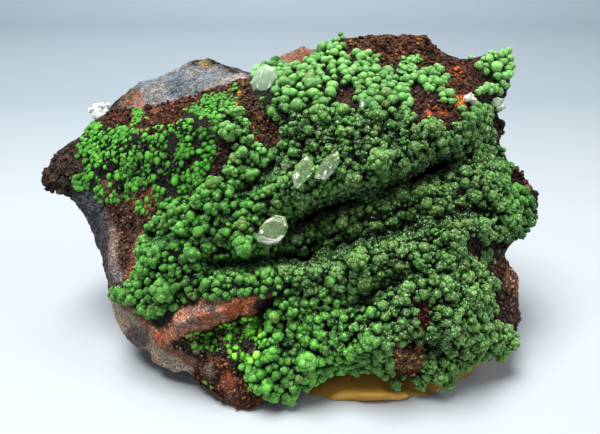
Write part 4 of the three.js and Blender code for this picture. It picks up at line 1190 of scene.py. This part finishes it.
def swallowed(corners, middle, size, grew, flatness):
    """Which corners of one globule lie inside a neighbour, where some neighbours are flat."""
    gaps = corners[:, None] - middle[None]
    along = np.einsum("cnk,nk->cn", gaps, grew)
    squashed = gaps + ((1 / flatness - 1) * along)[..., None] * grew
    inner = (0.88 - 0.12 * (flatness < 1)) * size
    return (np.linalg.norm(squashed, axis=2) < inner).any(axis=1)


def globule_mesh(chosen, crowded, globules, tone, shapes, face):
    """One mesh of many globules, with painted shade in their creases, between neighbours and towards their
    roots.
    """
    middle, size, grew, place, sugar, tint = globules
    corner_parts, triangle_parts, colour_parts, hidden_parts, sugar_parts = [], [], [], [], []
    offset = 0
    turns = random_turns(len(size))
    flatness = np.where(in_crust(*place.T), 1.0, 0.6)
    uneven = np.where(flatness < 1, 0.24, 0.1)[:, None]
    stretches = 1 + uneven * rng.uniform(-1, 1, (len(size), 3))
    bumpy = (flatness == 1) & (size > 0.34) & ~at_top(*place.T)
    variant = rng.integers(0, 6, len(size)) + 6 * bumpy
    fineness = 2 + 1 * (size > FINE_FROM) + 1 * (size > FINEST_FROM)
    for number in chosen:
        shape = shapes[fineness[number]]
        reach = shape["reaches"][variant[number]]
        turned = shape["corners"] @ turns[number].T
        facing = turned @ grew[number]
        corners = turned * reach[:, None] * stretches[number]
        corners = corners - (1 - flatness[number]) * (corners @ grew[number])[:, None] * grew[number]
        corners = middle[number] + size[number] * corners
        near = crowded[number]
        # Painted shade: each globule darker towards its root and lighter on the side it grew towards.
        if flatness[number] < 1:
            shade = 0.3 + 0.7 * smoothstep(facing, -0.3, 0.85)
        else:
            shade = 0.55 + 0.45 * smoothstep(facing, -0.6, 0.7)
        hidden = np.zeros(len(corners), dtype=bool)
        if len(near):
            shade = shade * crowded_shade(corners, turned, middle[near], size[near])
            hidden = swallowed(corners, middle[near], size[near], grew[near], flatness[near])
        cap = (tint[number] * smoothstep(facing, 0.2, 0.9))[:, None]
        colour = blend(tone[number], linear(GREEN_OLIVE), cap)
        corner_parts.append(corners)
        colour_parts.append(colour * shade[:, None] ** SHADE_POWERS)
        hidden_parts.append(hidden)
        triangle_parts.append(shape["triangles"] + offset)
        sugar_parts.append(np.full(len(reach), sugar[number]))
        offset += len(reach)
    corners, triangles = np.concatenate(corner_parts), np.concatenate(triangle_parts)
    corners[:, 2] = np.maximum(corners[:, 2], 0.05)
    colours, sugars = np.concatenate(colour_parts), np.concatenate(sugar_parts)
    colours *= crevice_shade(corners, face)[:, None] ** SHADE_POWERS
    colours = PALER_GAIN * colours**PALER_POWER
    hidden = np.concatenate(hidden_parts) | buried(corners, face)
    used, triangles = trimmed(len(corners), triangles[~hidden[triangles].all(axis=1)])
    sugars = np.repeat(sugars[used][:, None], 3, axis=1)
    return corners[used], triangles, {"Tone": colours[used], "Sugar": sugars}


def dense(face, x, y):
    """Where the crust is closed."""
    return (
        in_crust(x, y) & ~inside_any(BARE_IN_CRUST, x, y)
        & (face.sample(face.carve, x, y) < 2.4) & (face.sample(face.on_rock, x, y) > 0.4)
    )


def out_of_clefts(face, x, y):
    """Where the crust is closed and large globules have room."""
    return dense(face, x, y) & (face.sample(face.carve, x, y) < 0.8)


def filling(face, x, y):
    """Where small globules fill in the crust: everywhere but in gaps at the top."""
    return dense(face, x, y) & (~at_top(x, y) | (view_noise(x, y, 5.0, 63) > 0.52))


def clumped(face, x, y):
    """Where small globules sit in clumps on the bare rock."""
    field = inside(SPRINKLED, x, y) | inside(LOWER_SPRINKLED, x, y)
    return field & (view_noise(x, y, 13.0, 61) + 0.9 * view_noise(x, y, 5.5, 62) > 0.84)


def sparse(face, x, y):
    """Where a few small globules stand apart."""
    return inside_any(SPARSE_PATCHES, x, y)


def grow_botryoids(face, globules):
    """The globules that stand out: those listed, then more in between."""
    named = np.array(GLOBULES, dtype=float)
    x, y, _ = strewn(face, out_of_clefts, 30000)
    radius = rng.uniform(3.6, 6.4, len(x))
    x, y, radius = (np.concatenate(pair) for pair in zip(named.T, (x, y, radius)))
    out = face.out_at(x, y)
    size = radius * (VIEW_DISTANCE - out) / FOCAL_PIXELS
    places = placed(x, y, out)
    kept = thinned(places, np.where(np.arange(len(x)) < len(named), 0.0, CLUSTER_GAP * size))
    for number in kept:
        place = np.array([x[number], y[number]])
        grew = face.normal_at(*place) + 0.6 * OUTWARD
        grew /= np.linalg.norm(grew)
        above = face.rise_at(*place) + rng.uniform(0.15, 0.5) * size[number]
        middle = places[number] + grew * above
        tint = rng.uniform(0.3, 0.9) * (rng.uniform() < OLIVE_SHARE)
        if not in_crust(*place):
            colony(face, globules, *place, radius[number])
            continue
        smooth = at_top(*place) and size[number] < 1.1
        if not smooth and (size[number] > 0.85 or rng.uniform() < CLUSTERED):
            cluster(globules, middle, size[number], grew, place, tint)
        else:
            globules.add(middle[None], size[number][None], grew[None], place[None], tint)


def build_crust(face):
    """The conichalcite: the globules that stand out, then smaller ones that fill in between."""
    shapes = make_shapes()
    globules = Globules()
    grow_botryoids(face, globules)
    scatter(face, globules, filling, 140000, 0.62, 0.15, (0.24, 0.46))
    scatter(face, globules, clumped, 90000, 0.42, 0.2, (0.2, 0.5))
    scatter(face, globules, sparse, 8000, 0.7, 0.4, (0.25, 0.45))

    middle, size, grew, place, tint = globules.joined()
    x, y, out = seen(middle)
    clear = np.ones(len(x), dtype=bool)
    for outline, centre_out, half in CRYSTALS.values():
        clear &= ~(inside(outline, x, y) & (out + 0.6 * size > centre_out - half))
    middle, size, grew, place, tint = (part[clear] for part in (middle, size, grew, place, tint))
    x, y = place.T
    sugar = smoothstep(x, 235, 300) * smoothstep(y, 85, 125)
    sugar = np.clip(sugar * (0.7 + 0.6 * view_noise(x, y, 18.0, 83)), 0, 1)
    sugar = np.maximum(sugar, np.where(in_crust(x, y), 0.5, 0.1))
    tone = grown_tone(place, sugar)
    everything = (middle, size, grew, place, sugar, tint)
    crowded = crowd(middle, size)
    region = np.select(
        [(x < 250) & (y < 205), x < 250, y < 130, (x >= 410) & (y < 300), y < 262, x < 370],
        ["left", "lower_left", "top", "right", "middle", "low"],
        "lower_right",
    )
    material = crust_material()
    pieces = []
    for name in ("left", "lower_left", "top", "middle", "right", "low", "lower_right"):
        chosen = np.flatnonzero(region == name)
        corners, triangles, colours = globule_mesh(chosen, crowded, everything, tone, shapes, face)
        pieces.append(make_object("globules_" + name, corners, triangles, colours, material))
    return pieces


def new_material(name, settings):
    """A material, its node tree and its shader, with these plain settings."""
    material = bpy.data.materials.new(name)
    material.use_nodes = True
    shader = material.node_tree.nodes["Principled BSDF"]
    for label, value in settings.items():
        shader.inputs[label].default_value = value
    return material, material.node_tree, shader


def add_node(tree, kind, **values):
    """A node whose sockets take links or values, and whose other properties are set."""
    node = tree.nodes.new("ShaderNode" + kind)
    for key, value in values.items():
        if key in node.inputs:
            feed(tree, node.inputs[key], value)
        else:
            setattr(node, key, value)
    return node


def feed(tree, socket, value):
    """Links an output to a socket, or stores a plain value in it."""
    if isinstance(value, bpy.types.NodeSocket):
        tree.links.new(value, socket)
    else:
        socket.default_value = value


def computed(tree, kind, operation, *values):
    """What a Math or VectorMath node makes of links and values."""
    node = add_node(tree, kind, operation=operation)
    for socket, value in zip(node.inputs, values):
        feed(tree, socket, value)
    return node.outputs[0]


def scaled(tree, colour, factor):
    node = add_node(tree, "VectorMath", operation="SCALE", Scale=factor)
    tree.links.new(colour, node.inputs[0])
    return node.outputs["Vector"]


def mixed(tree, share, first, second):
    """The first colour with this share of the second."""
    return add_node(tree, "Mix", data_type="RGBA", Factor=share, A=first, B=second).outputs["Result"]


def ranged(tree, value, low, high, to_low=0.0, to_high=1.0):
    """A value brought from one range to another."""
    node = add_node(tree, "MapRange", Value=value)
    for label, number in (("From Min", low), ("From Max", high), ("To Min", to_low), ("To Max", to_high)):
        node.inputs[label].default_value = number
    return node.outputs["Result"]


def bumped(tree, height, strength, distance, **values):
    """The normal turned by a height; the distance is in metres."""
    node = add_node(tree, "Bump", Height=height, Strength=strength, Distance=distance, **values)
    return node.outputs["Normal"]


def stored(tree, name, output="Color"):
    """A value stored at the corners of the mesh."""
    return add_node(tree, "Attribute", attribute_name=name).outputs[output]


def texture(tree, kind, **values):
    """A texture in the coordinates of the object."""
    place = add_node(tree, "TexCoord").outputs["Object"]
    return add_node(tree, kind, Vector=place, **values)


def channels(tree, colour):
    """The red, green and blue of a colour."""
    return add_node(tree, "SeparateColor", Color=colour).outputs[:3]


def crust_material():
    """Conichalcite: a fine druse, whose tiny crystals are tilted where it is sugary, and there given painted
    highlights: brighter and darker facets and pale glints.
    """
    material, tree, shader = new_material("conichalcite_druse", {
        "Roughness": 0.36,
        "Specular IOR Level": 0.14,
        "Sheen Weight": 0.3,
        "Sheen Roughness": 0.3,
        "Sheen Tint": (0.62, 1.0, 0.5, 1.0),
        "Subsurface Weight": 0.6,
        "Subsurface Radius": (0.5, 1.0, 0.35),
        "Subsurface Scale": 0.0008,
    })
    sugar = stored(tree, "Sugar", "Fac")
    mottle = texture(tree, "TexNoise", Scale=2600.0, Detail=3.0, Roughness=0.6).outputs["Fac"]
    facets = texture(tree, "TexVoronoi", Scale=7600.0).outputs
    red, _, blue = channels(tree, facets["Color"])
    shaded = scaled(tree, stored(tree, "Tone"), ranged(tree, mottle, 0.3, 0.7, 0.75, 1.25))
    # Painted highlights where the crust is sugary: facet brightness varied, and some facets mixed to a pale
    # glint.
    painted_glitter = ranged(tree, red, 0.55, 1.0, -0.2, 0.6)
    painted_sparkle = scaled(tree, shaded, computed(tree, "Math", "MULTIPLY_ADD", painted_glitter, sugar, 1.0))
    painted_glints = ranged(tree, blue, 0.84, 0.98, 0.0, 0.8)
    painted_glint_share = computed(tree, "Math", "MULTIPLY", painted_glints, sugar)
    feed(tree, shader.inputs["Base Color"], mixed(tree, painted_glint_share, painted_sparkle, paint(PAINTED_GLINT_COLOUR)))

    rough = bumped(tree, mottle, 0.5, 0.00015)
    points = bumped(tree, facets["Distance"], 0.6, 0.00008, invert=True, Normal=rough)
    centred = computed(tree, "VectorMath", "SUBTRACT", facets["Color"], (0.5, 0.5, 0.5))
    turned = scaled(tree, centred, ranged(tree, sugar, 0.0, 1.0, 0.15, FACET_TILT))
    tilted = computed(tree, "VectorMath", "ADD", turned, points)
    feed(tree, shader.inputs["Normal"], computed(tree, "VectorMath", "NORMALIZE", tilted))
    return material


def rock_material():
    """Gossan: fine grains of two colours and pale flecks, some of them glinting, with painted shade towards
    the edges of each grain.
    """
    material, tree, shader = new_material("gossan_rock", {"Specular IOR Level": 0.2})
    light = stored(tree, "Light")
    grains = texture(tree, "TexVoronoi", Scale=4300.0).outputs
    cloud = texture(tree, "TexNoise", Scale=1500.0, Detail=7.0, Roughness=0.72).outputs["Fac"]
    red, green, blue = channels(tree, grains["Color"])
    clouded = computed(tree, "Math", "MULTIPLY_ADD", red, 0.35, cloud)
    speckle = mixed(tree, ranged(tree, clouded, 0.52, 0.86), stored(tree, "Dark"), light)
    # Painted shade: each grain darker towards its edges.
    crease_shaded = scaled(tree, speckle, ranged(tree, grains["Distance"], 0.35, 0.75, 1.15, 0.4))
    paler = computed(tree, "VectorMath", "MULTIPLY_ADD", light, (1.5, 1.55, 1.6), (0.01, 0.01, 0.01))
    flecked = mixed(tree, ranged(tree, green, 0.955, 0.965, 0.0, 0.8), crease_shaded, paler)
    bump = bumped(tree, cloud, 0.8, 0.0002)
    facets = bumped(tree, grains["Distance"], 0.8, 0.00016, invert=True, Normal=bump)
    feed(tree, shader.inputs["Base Color"], flecked)
    feed(tree, shader.inputs["Normal"], facets)
    feed(tree, shader.inputs["Roughness"], ranged(tree, blue, 0.8, 0.97, 0.85, 0.3))
    return material


def calcite_material(kind, colour, clear, roughness):
    """Calcite with a faint veil of cloud; the less clear, the milkier."""
    settings = {"Transmission Weight": clear, "IOR": CALCITE_IOR, "Roughness": roughness}
    material, tree, shader = new_material("calcite_" + kind, settings)
    veil = texture(tree, "TexNoise", Scale=1400.0, Detail=4.0).outputs["Fac"]
    milky = [0.35 * value + 165 for value in colour]
    tint = mixed(tree, ranged(tree, veil, 0.35, 0.65), paint(colour), paint(milky))
    feed(tree, shader.inputs["Base Color"], tint)
    return material


def crystal_lean(places, centre):
    """How much further out a leaning crystal is at places off its centre."""
    return CRYSTAL_LEAN * (places - centre) @ np.array([0.4, -1.0])


def add_solid(work, rings):
    """A closed solid through rings of corners, with its first and last ring as its ends."""
    corners = [[work.verts.new((corner * MM).tolist()) for corner in ring] for ring in rings]
    faces = [work.faces.new(corners[0]), work.faces.new(corners[-1][::-1])]
    for upper, lower in zip(corners, corners[1:]):
        for n in range(len(upper)):
            after = (n + 1) % len(upper)
            faces.append(work.faces.new((upper[n], lower[n], lower[after], upper[after])))
    bmesh.ops.recalc_face_normals(work, faces=faces)
    return faces


def add_blade(work, name, points, middle_out, half):
    """The crystal itself, with a milky lower edge where it is clear, partly a painted highlight for the
    bright light along that edge.
    """
    centre = points.mean(axis=0)
    shrink = 0.75 if name in GRANULAR else 1.0
    rings = []
    for share, depth in BLADE_RINGS:
        ring = centre + shrink * share * (points - centre)
        out = shrink * (depth * half)
        rings.append(placed(*ring.T, middle_out + out + crystal_lean(ring, centre)))
    # The downward facets of a clear crystal take the milky edge kind, whose whiteness is partly painted
    # highlight.
    for facet in add_solid(work, rings):
        way = np.array(facet.normal[:])
        if name in CLOUDY:
            facet.material_index = KIND_NUMBERS[CLOUDY[name]]
        elif way @ UPWARD + 0.5 * way @ ACROSS < -0.45:
            facet.material_index = KIND_NUMBERS["edge"]


def add_granules(work, name, points, middle_out, half):
    """Small grains heaped on a crystal that is an aggregate."""
    centre = points.mean(axis=0)
    for _ in range(GRANULAR.get(name, 0)):
        share = rng.uniform(-1, 1, 3)
        spot = centre + 0.8 * share[:2] * (points.max(axis=0) - centre)
        place = placed(*spot, middle_out + 0.8 * half * share[2])
        shape, triangles = sphere_shape(1)
        reach = rng.uniform(0.7, 1.1, (len(shape), 1)) * rng.uniform(0.3, 0.55)
        lump = [work.verts.new(((place + corner) * MM).tolist()) for corner in shape * reach]
        for triangle in triangles:
            facet = work.faces.new([lump[n] for n in triangle])
            facet.material_index = KIND_NUMBERS[CLOUDY[name]]


def add_cracks_and_glints(work, name, points, middle_out, half):
    """Thin milky sheets through a crystal's front, which follow its bevel at its edges: cracks, and painted
    highlights for glints and a bright rim.
    """
    centre = points.mean(axis=0)
    for white_mark in CRACKS_AND_GLINTS.get(name, ()):
        along = np.array(white_mark, dtype=float)
        off_centre = np.linalg.norm((along - centre) / (points - centre).std(axis=0), axis=1)
        sunk = 0.6 * half * (1 - fading(off_centre, 0.9, 1.6))
        sheets = [
            placed(*along.T, out + crystal_lean(along, centre) - sunk)
            for out in (middle_out + half + 0.05, middle_out + half - 0.06)
        ]
        for facet in add_solid(work, sheets):
            facet.material_index = KIND_NUMBERS[CRACK_AND_GLINT_KINDS.get(name, "white")]


def build_crystals():
    """Each crystal is a bevelled blade: a flat front and back and narrow facets between them."""
    materials = [calcite_material(kind, *values) for kind, values in CALCITE_KINDS.items()]
    pieces = []
    for name, (outline, middle_out, half) in CRYSTALS.items():
        work = bmesh.new()
        for add_part in (add_blade, add_granules, add_cracks_and_glints):
            add_part(work, name, np.array(outline, dtype=float), middle_out, half)
        bmesh.ops.triangulate(work, faces=work.faces[:])
        mesh = bpy.data.meshes.new("clear_" + name)
        work.to_mesh(mesh)
        work.free()
        for material in materials:
            mesh.materials.append(material)
        pieces.append((add_object("clear_" + name, mesh), name))
    return pieces


def putty_material():
    """Putty: mottled, with small dark specks."""
    settings = {"Roughness": 0.62, "Specular IOR Level": 0.3}
    material, tree, shader = new_material("mounting_putty", settings)
    mottle = texture(tree, "TexNoise", Scale=500.0, Detail=5.0).outputs["Fac"]
    specks = texture(tree, "TexVoronoi", Scale=420.0).outputs["Distance"]
    shaded = scaled(tree, stored(tree, "Tone"), ranged(tree, specks, 0.06, 0.1, 0.25))
    feed(tree, shader.inputs["Base Color"], shaded)
    feed(tree, shader.inputs["Normal"], bumped(tree, mottle, 0.25, 0.0003))
    return material


def build_putty():
    """The pad, kneaded and dented, with a flat base."""
    corners, triangles = remeshed("putty_pad", PUTTY_VOXEL)
    corners = relaxed(corners, triangles, 6)
    normals = corner_normals(corners, triangles)
    dents = smooth_noise(corners, 4.0, 71) - 0.5
    creases = smooth_noise(corners * [1.0, 1.0, 3.0], 1.6, 72) - 0.5
    lift = 0.35 * dents + 0.16 * creases - 0.1
    on_floor = smoothstep(corners[:, 2], 0.15, 0.6)
    corners = corners + normals * (lift * on_floor)[:, None]
    corners[:, 2] = np.maximum(corners[:, 2], 0.0)
    mix = smooth_noise(corners, 3.0, 73)[:, None]
    colours = blend(linear(PUTTY_DARK), linear(PUTTY_LIGHT), mix)
    return make_object("putty", corners, triangles, {"Tone": colours}, putty_material())


def floor_material():
    """Pale paper that darkens a little towards the back of the part."""
    material, tree, shader = new_material("pale_floor", {"Roughness": 0.55})
    place = add_node(tree, "TexCoord").outputs["Object"]
    depth = add_node(tree, "SeparateXYZ", Vector=place).outputs["Y"]
    tones = add_node(tree, "ValToRGB", Fac=ranged(tree, depth, 0.0, 0.5))
    stops = tones.color_ramp.elements
    stops[0].position = 0.08
    stops[0].color = paint(FLOOR_NEAR)
    stops[1].color = paint(FLOOR_FAR)
    stops.new(0.3).color = paint(FLOOR_MIDDLE)
    feed(tree, shader.inputs["Base Color"], tones.outputs["Color"])
    return material


def build_stage():
    """A floor that curves up into a wall behind the part, in metres."""
    half, back, bend, top = 0.6, 0.5, 0.1, 0.6
    curve = [
        (back - bend + bend * math.sin(turn), bend - bend * math.cos(turn))
        for turn in np.linspace(0, math.pi / 2, 12)
    ]
    work = bmesh.new()
    pairs = [
        [work.verts.new((side, depth, height)) for side in (-half, half)]
        for depth, height in [(-half, 0.0), *curve, (back, top)]
    ]
    for lower, upper in zip(pairs, pairs[1:]):
        work.faces.new((*lower, *upper[::-1]))
    mesh = bpy.data.meshes.new("floor")
    work.to_mesh(mesh)
    work.free()
    for polygon in mesh.polygons:
        polygon.use_smooth = True
    mesh.materials.append(floor_material())
    floor = add_object("floor", mesh)


def add_lamp(name, place, target, power):
    """A round lamp that points at a target."""
    data = bpy.data.lights.new(name, "AREA")
    data.shape = "DISK"
    data.size = LAMP_WIDTH
    data.energy = power
    lamp = add_object(name, data)
    lamp.location = place
    direction = np.subtract(target, place).tolist()
    lamp.rotation_euler = Vector(direction).to_track_quat("-Z", "Y").to_euler()


def build_camera_and_lights():
    """The view of the photograph, straight at the face, and a soft studio."""
    data = bpy.data.cameras.new("camera")
    data.sensor_fit = "HORIZONTAL"
    data.sensor_width = SENSOR_WIDTH
    data.lens = SENSOR_WIDTH * FOCAL_PIXELS / VIEW_WIDTH
    data.clip_start = 0.004
    data.clip_end = 10.0
    camera = add_object("camera", data)
    camera.matrix_world = Matrix([*zip(ACROSS, UPWARD, OUTWARD, EYE * MM), (0, 0, 0, 1)])
    bpy.context.scene.camera = camera

    bpy.context.scene.view_settings.view_transform = "Standard"
    world = bpy.data.worlds.new("studio")
    world.use_nodes = True
    background = world.node_tree.nodes["Background"]
    background.inputs["Color"].default_value = (0.82, 0.9, 1.0, 1.0)
    background.inputs["Strength"].default_value = 0.05
    bpy.context.scene.world = world
    for name, (place, target, power) in LAMPS.items():
        add_lamp(name, place, target, power)


face = Face(*mesh_arrays(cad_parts["gossan_matrix"].data))
bare_mask = face.soft_mask(BARE_IN_CRUST, 1.5)
face.covered = face.soft_mask([DENSE_CRUST, TOP_RIGHT_CRUST], 2.0) * (1 - bare_mask)
face.under_crust = face.covered * (1 - smoothstep(face.carve, 1.6, 3.0))
gossan = rock_material()
rock = build_rock(face, gossan)
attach(rock, "root")
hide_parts("gossan_matrix")
grains = build_grains(face, rock, gossan)
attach(grains, "root")
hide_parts("gossan_matrix")
for piece in build_crust(face):
    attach(piece, "root")
    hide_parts("conichalcite_crust")
putty = build_putty()
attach(putty, "root")
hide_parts("putty_pad")
for piece, name in build_crystals():
    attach(piece, "root")
    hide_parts(name)
build_stage()
build_camera_and_lights()
